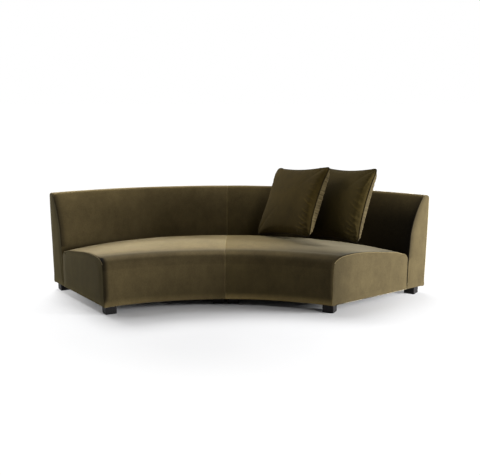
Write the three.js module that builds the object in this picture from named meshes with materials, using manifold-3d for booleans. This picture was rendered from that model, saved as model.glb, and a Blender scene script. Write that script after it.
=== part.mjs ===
// Curved armless sofa in two modules that butt at a middle seam, with two loose square cushions.
// Millimetres and degrees. +Z is up, +X is right as seen from the front, +Y runs to the back.
// Both modules are laid out round one centre of curvature, which lies in front of the sofa.
// A place in a module has a depth, measured along a radius from the seat front, and a height.
// Side to side, a place is measured from a plan line: the seam line, the end line or a radial line.

import * as THREE from 'three';
import { mergeVertices } from 'three/addons/utils/BufferGeometryUtils.js';
import Module from 'manifold-3d';

const wasm = await Module();
wasm.setup();

// Plan of the whole sofa. The end angles say where each outer end cuts the front and the back.
const frontRadius = 1796;
const moduleGap = 2;
const modules = [
  { name: 'left', side: -1, frontAngle: 28.9, backAngle: 31.3 },
  { name: 'right', side: 1, frontAngle: 25.7, backAngle: 35.7 },
];
const bayCount = 8;

// Heights and depths of the upholstered outline.
const baseHeight = 57;
const seatHeight = 433;
const frontEdgeDrop = 71;
const frontEdgeHeight = seatHeight - frontEdgeDrop;
const frontEdgeDepth = 100;
const overallHeight = 787;
const seatDepth = 708;
const backDepth = 187;
const outsideDepth = seatDepth + backDepth;
const outsideLean = 12;
const endDrop = 50;
const frontBulge = 6;
const hemWidth = 30;
const hemCorner = 10;

// Cloth, padding and running gaps.
const fitGap = 0.4;
const coverThickness = 2.5;
const seamEdge = 6;
const endEdge = 8;
const frontPad = 15;
const rearPad = 4;
const seamPad = 4;
const endPad = 9;
const backPad = 46;
const topPad = 19;

// Timber frame.
const railThickness = 22;
const seatRailHeight = 162;
const outsideRailHeight = 100;
const crossRailHeight = 140;
const topRailHeight = 30;
const topRailDepth = 30;
const ribThickness = 18;
const ribCount = 5;
const boardThickness = 3;
const boardLift = 4;
const blockHeight = 60;
const blockSize = 86;
const glueOverlap = 1;

// Springs and their clips.
const springCount = 4;
const springWaves = 11;
const springWidth = 48;
const springEndWidth = 22;
const wireRadius = 2;
const tieRadius = 1.2;
const tieOverhang = 30;
const wireOverlap = 0.3;
const clipWall = 1.2;
const clipWidth = 16;
const clipReach = 8;
const deckRise = 8;
const deckThickness = 2;

// Feet and the bolts that hold them.
const footHeight = 56.6;
const footSize = 85;
const footCorner = 4;
const footFrontInset = 57;
const footBackInset = 57;
const footEndInset = 63;
const footSeamInset = 55;
const seamFootSetback = 130;
const boltRadius = 4;
const boltHeadRadius = 7.5;
const boltHeadHeight = 5.5;
const footBoltRise = 50;
const boltTail = 3;
const backBoltHeight = 140;
const boltSides = 8;

// Connectors under the middle seam.
const frontConnectorDepth = 260;
const rearConnectorDepth = 560;
const connectorDepths = { front: frontConnectorDepth, rear: rearConnectorDepth };
const tongueWidth = 30;
const tongueThickness = 4;
const tongueReach = 30;
const connectorLength = 45;
const keeperWall = 3;
const keeperFlange = 14;
const keeperStart = 6;
const screwRadius = 2;
const screwLength = 22;
const screwHeadRadius = 4.2;
const screwHeadHeight = 2;
const tongueScrewSpacing = 16;

// Loose cushions. Each leans by its tilt, is turned by its turn and tipped sideways by its roll.
const cushionSize = 600;
const cushionThickness = 190;
const cushionEdge = 4;
const restGap = 0.3;
const leanGap = 0.6;
const edgeSamples = 5;
const settleSteps = 8;
const cushionSteps = 8;
const drawnInShare = 0.075;
const fullness = 0.42;
const pipingRadius = 3.5;
const pipingSides = 5;
const zipLength = 300;
const zipWidth = 4;
const zipOffset = 11.5;
const zipNearDepth = 3.1;
const zipFarDepth = 5.3;
const zipDepths = [zipNearDepth, zipFarDepth];
const zipCutDepth = 14;
const zipSteps = 8;
const cushions = [
  { name: 'left', angle: 12.8, turn: 52.6, tilt: 29, roll: -7.9 },
  { name: 'right', angle: 22.0, turn: 56.9, tilt: 23.2, roll: -6.1 },
];

// One overrun for every cutting tool, and the depth from the cover's outside to the foam.
const overrun = 5;
const foamDepth = coverThickness + fitGap;

// Levels and depths that follow from the sizes above.
const railBottom = baseHeight + foamDepth;
const railTop = baseHeight + foamDepth + seatRailHeight;
const deckBottom = railTop + deckRise;
const deckTop = deckBottom + deckThickness;
const frontRailFront = foamDepth + frontPad;
const frontRailRear = frontRailFront + railThickness;
const seatRailRear = seatDepth - foamDepth - rearPad - fitGap;
const seatRailFront = seatRailRear - railThickness;
const backFront = seatDepth + fitGap;
const backRailFront = backFront + foamDepth + rearPad + fitGap;
const backRailRear = backRailFront + railThickness;
const boardRear = outsideDepth - foamDepth - rearPad - fitGap;
const boardFront = boardRear - boardThickness;
const outsideRailRear = boardFront - fitGap;
const outsideRailFront = outsideRailRear - railThickness;
const topRailTop = overallHeight - foamDepth - topPad;
const topRailBottom = topRailTop - topRailHeight;
const topRailFront = outsideRailRear - topRailDepth;
const seamInset = foamDepth + seamPad;
const endInset = foamDepth + endPad;

const colours = {
  velvet: 0x5a5032,
  foam: 0xe6ddc0,
  timber: 0xb08a5a,
  board: 0x8a6d48,
  steel: 0x8d9094,
  cloth: 0x1d1d1f,
  foot: 0x262326,
};

function material(colour, roughness, metalness) {
  return new THREE.MeshStandardMaterial({ color: colour, roughness, metalness });
}

const finishes = {
  velvet: () => material(colours.velvet, 0.95, 0),
  foam: () => material(colours.foam, 1, 0),
  timber: () => material(colours.timber, 0.8, 0),
  board: () => material(colours.board, 0.85, 0),
  steel: () => material(colours.steel, 0.4, 1),
  cloth: () => material(colours.cloth, 1, 0),
  foot: () => material(colours.foot, 0.5, 0),
};

const radians = THREE.MathUtils.degToRad;
const mix = THREE.MathUtils.lerp;

// Plan lines

// A plan line runs from front to back. Distances across it are positive towards the module's middle.
function planLine(frontAngle, backAngle, inward, shift) {
  const front = new THREE.Vector2(Math.sin(frontAngle), Math.cos(frontAngle)).multiplyScalar(frontRadius);
  const backRadius = frontRadius + outsideDepth;
  const back = new THREE.Vector2(Math.sin(backAngle), Math.cos(backAngle)).multiplyScalar(backRadius);
  const along = back.sub(front).normalize();
  const across = new THREE.Vector2(along.y, -along.x).multiplyScalar(inward);
  return { start: front.addScaledVector(across, shift), along, across };
}

for (const module of modules) {
  module.seam = planLine(0, 0, 1, moduleGap / 2);
  module.end = planLine(radians(module.frontAngle), radians(module.backAngle), -1, 0);
}

// How far along a line, moved across by a distance, it meets the circle of a radius.
function reachTo(line, radius, across) {
  const start = line.start.clone().addScaledVector(line.across, across);
  const half = start.dot(line.along);
  return Math.sqrt(half * half - start.lengthSq() + radius * radius) - half;
}

// The angle at which it meets that circle.
function angleOn(line, radius, across) {
  const start = line.start.clone().addScaledVector(line.across, across);
  const point = start.addScaledVector(line.along, reachTo(line, radius, across));
  return Math.atan2(point.x, point.y);
}

// The angle at a share of the way from a module's seam pad to its end pad.
function angleBetween(module, radius, share) {
  return mix(angleOn(module.seam, radius, seamInset), angleOn(module.end, radius, endInset), share);
}

// A radial line of a module, square to its curve at the joint between seat and back.
function radialLine(module, share) {
  const angle = angleBetween(module, frontRadius + seatDepth, share);
  return planLine(angle, angle, 1, 0);
}

// A line that keeps its share of the way from seam to end, and so fans out as the module does.
function fanLine(module, share) {
  const angles = [frontRadius, frontRadius + outsideDepth].map((radius) => angleBetween(module, radius, share));
  return planLine(...angles, 1, 0);
}

function onLine(module, line, along, across, height) {
  const point = line.start.clone().addScaledVector(line.along, along).addScaledVector(line.across, across);
  return new THREE.Vector3(module.side * point.x, point.y, height);
}

// How far a chord of one bay falls short of its arc.
function chordSag(depth) {
  const widest = Math.max(...modules.map((module) => radians(module.backAngle)));
  return (frontRadius + depth) * (1 - Math.cos(widest / bayCount / 2));
}

// Outlines, as lists of points whose x is a depth and whose y is a height

function arcPoints(x, y, radiusX, radiusY, from, to, steps) {
  const points = [];
  for (let i = 0; i <= steps; i += 1) {
    const angle = radians(mix(from, to, i / steps));
    points.push(new THREE.Vector2(x + radiusX * Math.cos(angle), y + radiusY * Math.sin(angle)));
  }
  return points;
}

function curvePoints(curve, steps) {
  return curve.getPoints(steps).slice(1);
}

function rectangle(left, bottom, right, top) {
  return [
    new THREE.Vector2(left, bottom),
    new THREE.Vector2(right, bottom),
    new THREE.Vector2(right, top),
    new THREE.Vector2(left, top),
  ];
}

// Shares of the seat's and the back's sizes that shape their outlines.
const crownStartShare = 0.976;
const crownPullShares = [0.47, 1.025];
const rollStartShares = [0.853, 0.968];
const rollPullShares = [0.972, 0.955];
const rollEndShare = 0.76;
const rakeStartShares = [0.075, 0.6];
const rakePullShares = [[0.11, 0.71], [0.36, 0.875]];
const rakeEndShares = [0.685, 0.988];
const crestShares = [[0.75, 1.0], [0.83, 1.0]];
const crestEndShare = 0.965;
const backBoltShares = { inner: 0.125, outer: 0.875 };
const tieShares = [0.33, 0.67];

// The seat cover's outline, from the tip of the front hem, over the top and down to the frame behind.
function seatOutline() {
  const hemTip = new THREE.Vector2(hemWidth, baseHeight);
  const corner = arcPoints(hemCorner, baseHeight + hemCorner, hemCorner, hemCorner, -90, -180, 2);
  const faceTop = new THREE.Vector2(0, frontEdgeHeight);
  const facePull = new THREE.Vector2(-2 * frontBulge, (baseHeight + frontEdgeHeight) / 2);
  const face = curvePoints(new THREE.QuadraticBezierCurve(corner[2], facePull, faceTop), 2);
  const crownStart = new THREE.Vector2(frontEdgeDepth, seatHeight * crownStartShare);
  const edgeRise = crownStart.y - frontEdgeHeight;
  const edge = arcPoints(frontEdgeDepth, frontEdgeHeight, frontEdgeDepth, edgeRise, 180, 90, 4).slice(1);
  const crownPull = new THREE.Vector2(seatDepth * crownPullShares[0], seatHeight * crownPullShares[1]);
  const crownEnd = new THREE.Vector2(seatDepth * rollStartShares[0], seatHeight * rollStartShares[1]);
  const crown = curvePoints(new THREE.QuadraticBezierCurve(crownStart, crownPull, crownEnd), 3);
  const rollPull = new THREE.Vector2(seatDepth * rollPullShares[0], seatHeight * rollPullShares[1]);
  const rollEnd = new THREE.Vector2(seatDepth, seatHeight * rollEndShare);
  const roll = curvePoints(new THREE.QuadraticBezierCurve(crownEnd, rollPull, rollEnd), 3);
  const foot = new THREE.Vector2(seatDepth, railBottom);
  return [hemTip, ...corner, ...face, ...edge, ...crown, ...roll, foot];
}

// A place on the back, as shares of its thickness and of the overall height.
function backPoint(depthShare, heightShare) {
  return new THREE.Vector2(backFront + (outsideDepth - backFront) * depthShare, overallHeight * heightShare);
}

// The raked inside of the back, from the base to the crest.
function backInside() {
  const foot = new THREE.Vector2(backFront, railBottom);
  const level = new THREE.Vector2(backFront, deckTop);
  const start = backPoint(...rakeStartShares);
  const pulls = rakePullShares.map((shares) => backPoint(...shares));
  const rake = curvePoints(new THREE.CubicBezierCurve(start, ...pulls, backPoint(...rakeEndShares)), 6);
  return [foot, level, start, ...rake];
}

// The back cover's outline, from the base inside, over the crest and down to the tip of the rear hem.
function backOutline() {
  const inside = backInside();
  const crest = crestShares.map((shares) => backPoint(...shares));
  const shoulder = new THREE.Vector2(outsideDepth + outsideLean, overallHeight * crestEndShare);
  const round = new THREE.QuadraticBezierCurve(crest[1], new THREE.Vector2(shoulder.x, overallHeight), shoulder);
  const corner = arcPoints(outsideDepth - hemCorner, baseHeight + hemCorner, hemCorner, hemCorner, 0, -90, 2);
  const fallPull = new THREE.Vector2(outsideDepth + outsideLean, mix(baseHeight, overallHeight, 0.6));
  const fall = curvePoints(new THREE.QuadraticBezierCurve(shoulder, fallPull, corner[0]), 2);
  const hemTip = new THREE.Vector2(outsideDepth - hemWidth, baseHeight);
  return [...inside, ...crest, ...curvePoints(round, 2), ...fall, ...corner.slice(1), hemTip];
}

// Moves every edge of an open outline inwards by one distance, with mitred corners.
function insetOutline(points, distance) {
  const normals = points.slice(1).map((point, i) => {
    const edge = point.clone().sub(points[i]).normalize();
    return new THREE.Vector2(edge.y, -edge.x);
  });
  return points.map((point, i) => {
    const before = normals[Math.max(i - 1, 0)];
    const after = normals[Math.min(i, normals.length - 1)];
    const mitre = before.clone().add(after).normalize();
    return point.clone().addScaledVector(mitre, distance / mitre.dot(after));
  });
}

// The seat falls away towards the outer end and towards the back, and not at all at its base.
function seatFall(depth, height, share) {
  const back = THREE.MathUtils.smoothstep(depth, frontEdgeDepth, seatDepth - frontEdgeDepth / 2);
  const level = THREE.MathUtils.clamp((height - deckTop) / (seatHeight - deckTop), 0, 1);
  return endDrop * back * level * share ** 2.5;
}

const noFall = () => 0;

// Solids

// Makes one closed body from triangles, with its faces turned outwards.
function solid(triangles) {
  let volume = 0;
  for (const [a, b, c] of triangles) volume += a.dot(new THREE.Vector3().crossVectors(b, c));
  const points = triangles.flatMap(([a, b, c]) => (volume < 0 ? [a, c, b] : [a, b, c]));
  return mergeVertices(new THREE.BufferGeometry().setFromPoints(points));
}

function gridTriangles(rows, closed) {
  const triangles = [];
  for (let i = 0; i + 1 < rows.length; i += 1) {
    const count = rows[i].length;
    for (let j = 0; j < (closed ? count : count - 1); j += 1) {
      const next = (j + 1) % count;
      triangles.push([rows[i][j], rows[i + 1][j], rows[i + 1][next]]);
      triangles.push([rows[i][j], rows[i + 1][next], rows[i][next]]);
    }
  }
  return triangles;
}

// Fills a flat outline with triangles that run the same way round as the outline.
function fill(outline) {
  const turned = THREE.ShapeUtils.isClockWise(outline);
  const faces = THREE.ShapeUtils.triangulateShape(outline.map((point) => point.clone()), []);
  return faces.map(([a, b, c]) => (turned ? [a, c, b] : [a, b, c]));
}

// A solid through rows of closed loops. The flat outlines tell how its two ends are filled.
function loftSolid(rows, firstOutline, lastOutline) {
  const triangles = gridTriangles(rows, true);
  const [first, last] = [rows[0], rows[rows.length - 1]];
  for (const [a, b, c] of fill(firstOutline)) triangles.push([first[a], first[b], first[c]]);
  for (const [a, b, c] of fill(lastOutline)) triangles.push([last[a], last[c], last[b]]);
  return solid(triangles);
}

// A thin shell between an outer and an inner skin with the same rows and columns.
function shellSolid(outer, inner) {
  const backs = gridTriangles(inner, false).map(([a, b, c]) => [a, c, b]);
  const triangles = [...gridTriangles(outer, false), ...backs];
  const band = (out, back, turn) => {
    for (let i = 0; i + 1 < out.length; i += 1) {
      for (const [a, b, c] of [[out[i], out[i + 1], back[i + 1]], [out[i], back[i + 1], back[i]]]) {
        triangles.push(turn > 0 ? [a, b, c] : [a, c, b]);
      }
    }
  };
  const last = outer.length - 1;
  const columns = [0, outer[0].length - 1].map((j) => [outer, inner].map((rows) => rows.map((row) => row[j])));
  band(outer[0], inner[0], 1);
  band(outer[last], inner[last], -1);
  band(...columns[0], -1);
  band(...columns[1], 1);
  return solid(triangles);
}

function toManifold(geometry) {
  const bare = new THREE.BufferGeometry();
  bare.setAttribute('position', geometry.getAttribute('position').clone());
  if (geometry.index) bare.setIndex(geometry.index.clone());
  const merged = mergeVertices(bare);
  const vertProperties = new Float32Array(merged.getAttribute('position').array);
  const triVerts = new Uint32Array(merged.index.array);
  return new wasm.Manifold(new wasm.Mesh({ numProp: 3, vertProperties, triVerts }));
}

function fromManifold(body) {
  const mesh = body.getMesh();
  const geometry = new THREE.BufferGeometry();
  geometry.setAttribute('position', new THREE.BufferAttribute(new Float32Array(mesh.vertProperties), 3));
  geometry.setIndex(new THREE.BufferAttribute(new Uint32Array(mesh.triVerts), 1));
  return geometry;
}

function cut(geometry, tools) {
  const body = tools.reduce((left, tool) => left.subtract(toManifold(tool)), toManifold(geometry));
  return fromManifold(body);
}

// Makes one body of pieces that run into each other.
function joined([first, ...others]) {
  const body = others.reduce((left, other) => left.add(toManifold(other)), toManifold(first));
  return fromManifold(body);
}

// Sweeps along a module

// A station says where one cross-section stands: its distances inside the seam and end lines, its share
// of the way between them, and how far its outline is drawn in there.
function middleStations(fromSeam, fromEnd, inset) {
  const stations = [];
  for (let i = 0; i <= bayCount; i += 1) {
    stations.push({ seam: fromSeam, end: fromEnd, share: i / bayCount, inset });
  }
  return stations;
}

// Stations of a skin that lies a depth below the cover's outside, with both ends of it rounded over.
function skinStations(depth) {
  const turns = [0, 45];
  const drawn = (radius, turn) => radius - (radius - depth) * Math.sin(radians(turn));
  const set = (radius, turn) => radius - (radius - depth) * Math.cos(radians(turn));
  const seamSide = turns.map((turn) => (
    { seam: set(seamEdge, turn), end: endEdge, share: 0, inset: drawn(seamEdge, turn) }
  ));
  const endSide = turns.slice().reverse().map((turn) => (
    { seam: seamEdge, end: set(endEdge, turn), share: 1, inset: drawn(endEdge, turn) }
  ));
  return [...seamSide, ...middleStations(seamEdge, endEdge, depth), ...endSide];
}

function stand(module, station, point) {
  const radius = frontRadius + point.x;
  const fromSeam = angleOn(module.seam, radius, station.seam);
  const fromEnd = angleOn(module.end, radius, station.end);
  const angle = mix(fromSeam, fromEnd, station.share);
  return new THREE.Vector3(module.side * radius * Math.sin(angle), radius * Math.cos(angle), point.y);
}

function standRow(module, station, points, fall) {
  return points.map((point) => {
    const height = point.y - fall(point.x, point.y, station.share);
    return stand(module, station, new THREE.Vector2(point.x, height));
  });
}

function coverShell(module, outline, fall) {
  const skins = [0, coverThickness].map((depth) => (
    skinStations(depth).map((station) => standRow(module, station, insetOutline(outline, station.inset), fall))
  ));
  return shellSolid(...skins);
}

// The closed outline of the padding at one station: the cover's outline drawn in, closed along the base.
function foamBlock(module, outline, fall) {
  const stations = skinStations(foamDepth);
  const outlines = stations.map((station) => insetOutline(outline, station.inset));
  const rows = stations.map((station, i) => standRow(module, station, outlines[i], fall));
  return loftSolid(rows, outlines[0], outlines[outlines.length - 1]);
}

// A bar with one cross-section that follows the module's curve, from its seam pad to its end pad.
function curvedBar(module, section, clearance, fromEnd = endInset) {
  const stations = middleStations(seamInset + clearance, fromEnd + clearance, 0);
  const rows = stations.map((station) => standRow(module, station, section, noFall));
  return loftSolid(rows, section, section);
}

// A flat board beside a plan line, from one distance across it to another.
function flatBoard(module, line, near, far, outline) {
  const rows = [near, far].map((across) => outline.map((point) => {
    const radius = frontRadius + point.x;
    const angle = angleOn(line, radius, across);
    return new THREE.Vector3(module.side * radius * Math.sin(angle), radius * Math.cos(angle), point.y);
  }));
  return loftSolid(rows, outline, outline);
}

// A flat panel sewn into the end of a cover. It fills the drawn-in outline and hangs down to the base
// between the tip of the cover's hem and its other end. Its own hem, if any, turns in below the frame.
function endPanel(module, line, radius, share, outline, fall, hem) {
  const drawn = insetOutline(outline, radius + fitGap);
  const fallen = drawn.map((point) => (
    new THREE.Vector2(point.x, point.y - fall(point.x, point.y, share))
  ));
  const hemFirst = outline[0].y < outline[outline.length - 1].y;
  const clear = (hemFirst ? 1 : -1) * (fitGap + chordSag(outsideDepth));
  const ordered = hemFirst ? fallen : fallen.slice().reverse();
  const tip = ordered[0].x + clear;
  const foot = ordered[ordered.length - 1].x;
  const loop = [
    new THREE.Vector2(tip, baseHeight),
    new THREE.Vector2(tip, ordered[0].y),
    ...ordered.slice(1, -1),
    new THREE.Vector2(foot, baseHeight),
  ];
  const panel = flatBoard(module, line, 0, coverThickness, loop);
  if (!hem) return panel;
  const turnedIn = rectangle(Math.min(tip, foot), baseHeight, Math.max(tip, foot), baseHeight + coverThickness);
  return joined([panel, flatBoard(module, line, coverThickness / 2, hem, turnedIn)]);
}

// Turned fasteners, standing on +Z

function turned(points) {
  const profile = points.map(([x, y]) => new THREE.Vector2(x, y));
  const lathe = new THREE.LatheGeometry(profile, boltSides);
  lathe.rotateX(Math.PI / 2);
  return solidFromGeometry(lathe);
}

// Rebuilds a library geometry from its points alone, so that doubled points along its joins become one.
function solidFromGeometry(geometry) {
  const flat = geometry.index ? geometry.toNonIndexed() : geometry;
  const positions = flat.getAttribute('position');
  const point = (i) => new THREE.Vector3().fromBufferAttribute(positions, i);
  const triangles = [];
  for (let i = 0; i < positions.count; i += 3) {
    const corners = [point(i), point(i + 1), point(i + 2)];
    const edges = [corners[1].clone().sub(corners[0]), corners[2].clone().sub(corners[0])];
    if (edges[0].cross(edges[1]).length() > Number.EPSILON) triangles.push(corners);
  }
  return solid(triangles);
}

// A screw whose head stands below height zero and whose shank rises from it.
function screw() {
  const head = screwHeadRadius;
  return turned([
    [0, -screwHeadHeight], [head, -screwHeadHeight], [head, 0], [screwRadius, 0], [screwRadius, screwLength],
    [0, screwLength],
  ]);
}

// A bolt with its nut run on. The parts that it holds lie between height zero and the grip.
function nuttedBolt(grip) {
  const head = boltHeadRadius;
  const nutTop = grip + boltHeadHeight;
  return turned([
    [0, -boltHeadHeight], [head, -boltHeadHeight], [head, 0], [boltRadius, 0], [boltRadius, grip],
    [head, grip], [head, nutTop], [boltRadius, nutTop], [boltRadius, nutTop + boltTail], [0, nutTop + boltTail],
  ]);
}

function rod(radius, bottom, top) {
  return turned([[0, bottom], [radius, bottom], [radius, top], [0, top]]);
}

// Lays a piece that stands on +Z along a direction in plan and puts its zero at a point.
function laid(geometry, point, direction) {
  const turn = new THREE.Quaternion().setFromUnitVectors(new THREE.Vector3(0, 0, 1), direction);
  return geometry.clone().applyQuaternion(turn).translate(point.x, point.y, point.z);
}

function raised(geometry, point) {
  return geometry.clone().translate(point.x, point.y, point.z);
}

// Feet

// Where a module's four feet stand: a plan line, a distance across it and a depth.
function footPlaces(module) {
  const rearDepth = outsideDepth - footBackInset;
  return [
    { name: 'front_outer', line: module.end, across: footEndInset, depth: footFrontInset },
    { name: 'rear_outer', line: module.end, across: footEndInset, depth: rearDepth },
    { name: 'front_inner', line: module.seam, across: footSeamInset, depth: seamFootSetback },
    { name: 'rear_inner', line: module.seam, across: footSeamInset, depth: rearDepth },
  ];
}

function footPoint(module, place) {
  const radius = frontRadius + place.depth;
  const angle = angleOn(place.line, radius, place.across);
  const point = new THREE.Vector3(module.side * radius * Math.sin(angle), radius * Math.cos(angle), 0);
  return { point, turn: -module.side * angle };
}

// A square block with softened upright corners and the bolt that is fixed in its top.
function footBlock() {
  const half = footSize / 2;
  const shape = new THREE.Shape();
  shape.moveTo(-half + footCorner, -half);
  shape.lineTo(half - footCorner, -half);
  shape.quadraticCurveTo(half, -half, half, -half + footCorner);
  shape.lineTo(half, half - footCorner);
  shape.quadraticCurveTo(half, half, half - footCorner, half);
  shape.lineTo(-half + footCorner, half);
  shape.quadraticCurveTo(-half, half, -half, half - footCorner);
  shape.lineTo(-half, -half + footCorner);
  shape.quadraticCurveTo(-half, -half, -half + footCorner, -half);
  const block = new THREE.ExtrudeGeometry(shape, { depth: footHeight, bevelEnabled: false, curveSegments: 2 });
  const hangerBolt = rod(boltRadius, footHeight - glueOverlap, footHeight + footBoltRise);
  return joined([solidFromGeometry(block), hangerBolt]);
}

// The glue block that a foot's bolt runs up into. It runs into the board that carries it.
function cornerBlock(module, place) {
  const half = blockSize / 2;
  const inBack = place.depth > seatDepth;
  const front = inBack ? place.depth - half : Math.max(place.depth - half, frontRailRear + fitGap);
  const rear = inBack ? outsideRailFront + glueOverlap : place.depth + half;
  const wall = inBack ? ribThickness : railThickness;
  const inset = place.line === module.end ? endInset : seamInset;
  const near = inset + fitGap + wall - glueOverlap;
  const section = rectangle(front, railBottom, rear, railBottom + blockHeight);
  return flatBoard(module, place.line, near, place.across + half, section);
}

// Springs

// A wire of square section that follows flat points, with mitred corners.
function flatWire(points, radius) {
  const directions = points.slice(1).map((point, i) => point.clone().sub(points[i]).normalize());
  return points.map((point, i) => {
    const before = directions[Math.max(i - 1, 0)];
    const after = directions[Math.min(i, directions.length - 1)];
    const side = new THREE.Vector2(-before.y - after.y, before.x + after.x).normalize();
    const reach = radius / Math.abs(side.dot(new THREE.Vector2(-after.y, after.x)));
    return [
      [point.clone().addScaledVector(side, reach), 0],
      [point, radius],
      [point.clone().addScaledVector(side, -reach), 0],
      [point, -radius],
    ];
  });
}

const springFront = frontRailFront + railThickness / 2;
const springRear = seatRailFront + railThickness / 2;
const springHeight = railTop + fitGap + clipWall + wireRadius - wireOverlap;

function spring(module, line) {
  const [front, rear] = [springFront, springRear].map((depth) => reachTo(line, frontRadius + depth, 0));
  const points = [];
  for (let i = 0; i <= springWaves; i += 1) {
    const along = mix(front, rear, i / springWaves);
    const side = i % 2 ? 1 : -1;
    const width = i % springWaves ? springWidth : springEndWidth;
    points.push(new THREE.Vector2(along, side * width / 2));
    points.push(new THREE.Vector2(along, -side * width / 2));
  }
  const rows = flatWire(points, wireRadius).map((ring) => ring.map(([point, rise]) => (
    onLine(module, line, point.x, point.y, springHeight + rise)
  )));
  const square = rectangle(0, 0, wireRadius, wireRadius);
  return loftSolid(rows, square, square);
}

// A clip is a bent strip on the rail that holds the spring's last run. It opens towards the spring.
function springClip(module, line, depth, opening) {
  const along = reachTo(line, frontRadius + depth, 0);
  const slot = wireRadius - wireOverlap;
  const outer = slot + clipWall;
  const top = 2 * outer;
  const shape = [
    [-outer, 0], [clipReach, 0], [clipReach, clipWall], [-slot, clipWall],
    [-slot, top - clipWall], [clipReach, top - clipWall], [clipReach, top], [-outer, top],
  ].map(([x, y]) => new THREE.Vector2(x, y));
  const rows = [-clipWidth / 2, clipWidth / 2].map((across) => shape.map((point) => (
    onLine(module, line, along + opening * point.x, across, railTop + fitGap + point.y)
  )));
  return loftSolid(rows, shape, shape);
}

// A tie wire crosses under all springs at one depth and holds them apart.
function tieWire(module, share) {
  const depth = mix(springFront, springRear, share);
  const radius = frontRadius + depth;
  const first = angleOn(fanLine(module, 0.5 / springCount), radius, -tieOverhang);
  const last = angleOn(fanLine(module, 1 - 0.5 / springCount), radius, tieOverhang);
  const height = springHeight - wireRadius - tieRadius + wireOverlap;
  const rows = [];
  for (let i = 0; i <= bayCount; i += 1) {
    const angle = mix(first, last, i / bayCount);
    rows.push([[tieRadius, 0], [0, tieRadius], [-tieRadius, 0], [0, -tieRadius]].map(([out, rise]) => (
      new THREE.Vector3(
        module.side * (radius + out) * Math.sin(angle),
        (radius + out) * Math.cos(angle),
        height + rise,
      )
    )));
  }
  const square = rectangle(0, 0, tieRadius, tieRadius);
  return loftSolid(rows, square, square);
}

// The springs of one seat with their clips and tie wires.
function springSet(module) {
  const pieces = [];
  for (let i = 0; i < springCount; i += 1) {
    const line = fanLine(module, (i + 0.5) / springCount);
    pieces.push(spring(module, line));
    pieces.push(springClip(module, line, springFront, 1), springClip(module, line, springRear, -1));
  }
  for (const share of tieShares) pieces.push(tieWire(module, share));
  return joined(pieces);
}

// Connectors: a tongue on the left module slides through a keeper on the right one

const connectorTop = footHeight;

function acrossSeam(module, depth, outline, near, far) {
  const rows = [near, far].map((across) => outline.map((point) => (
    onLine(module, module.seam, depth + point.x, across, point.y)
  )));
  return loftSolid(rows, outline, outline);
}

function tonguePlate(module, depth) {
  const half = tongueWidth / 2;
  const outline = rectangle(-half, connectorTop - tongueThickness, half, connectorTop);
  return acrossSeam(module, depth, outline, -tongueReach, connectorLength);
}

// The keeper is a strip bent round the tongue, with a flange on either side.
function keeperStrap(module, depth) {
  const inner = tongueWidth / 2 + fitGap;
  const outer = inner + keeperWall;
  const reach = outer + keeperFlange;
  const flange = connectorTop - keeperWall;
  const floor = connectorTop - tongueThickness - fitGap;
  const outline = [
    [-reach, connectorTop], [-reach, flange], [-outer, flange], [-outer, floor - keeperWall],
    [outer, floor - keeperWall], [outer, flange], [reach, flange], [reach, connectorTop],
    [inner, connectorTop], [inner, floor], [-inner, floor], [-inner, connectorTop],
  ].map(([x, y]) => new THREE.Vector2(x, y));
  return acrossSeam(module, depth, outline, keeperStart, connectorLength);
}

// Two screws go up through each connector into the seam rail.
function connectorScrews(module, depth) {
  const holdsTongue = module.name === 'left';
  const keeperSpacing = tongueWidth + 2 * fitGap + 2 * keeperWall + keeperFlange;
  const spacing = holdsTongue ? tongueScrewSpacing : keeperSpacing;
  const plate = holdsTongue ? tongueThickness : keeperWall;
  const across = seamInset + railThickness / 2;
  return [-1, 1].map((side) => (
    onLine(module, module.seam, depth + side * spacing / 2, across, connectorTop - plate + wireOverlap)
  ));
}

// One module

function backBolts(module) {
  return Object.entries(backBoltShares).map(([name, share]) => {
    const line = radialLine(module, share);
    const along = new THREE.Vector3(module.side * line.along.x, line.along.y, 0);
    const head = seatRailFront - chordSag(seatRailFront) - fitGap;
    const grip = backRailRear + fitGap - head;
    return { name, along, grip, head: onLine(module, line, head, 0, backBoltHeight) };
  });
}

// A rib stands between the back's two lower rails and runs into both.
function ribOutline() {
  const inside = backInside().slice(1).filter((point) => point.y < topRailBottom);
  const edge = inside.map((point) => new THREE.Vector2(point.x + backPad, point.y));
  const outside = outsideRailRear - chordSag(outsideRailRear);
  const front = backRailRear - chordSag(backRailRear) - glueOverlap;
  const railTopOutside = railBottom + outsideRailHeight - glueOverlap;
  return [
    new THREE.Vector2(front, railBottom),
    new THREE.Vector2(front, railTop),
    new THREE.Vector2(edge[0].x, railTop),
    ...edge,
    new THREE.Vector2(topRailFront, topRailBottom - fitGap),
    new THREE.Vector2(outside, topRailBottom - fitGap),
    new THREE.Vector2(outside, railTopOutside),
    new THREE.Vector2(outsideRailFront + glueOverlap, railTopOutside),
    new THREE.Vector2(outsideRailFront + glueOverlap, railBottom),
  ];
}

function backRibs(module) {
  const outline = ribOutline();
  const [fromSeam, fromEnd] = [seamInset + fitGap, endInset + fitGap];
  const ribs = [
    flatBoard(module, module.seam, fromSeam, fromSeam + ribThickness, outline),
    flatBoard(module, module.end, fromEnd, fromEnd + ribThickness, outline),
  ];
  for (let i = 1; i + 1 < ribCount; i += 1) {
    const line = fanLine(module, i / (ribCount - 1));
    ribs.push(flatBoard(module, line, -ribThickness / 2, ribThickness / 2, outline));
  }
  return ribs;
}

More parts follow.
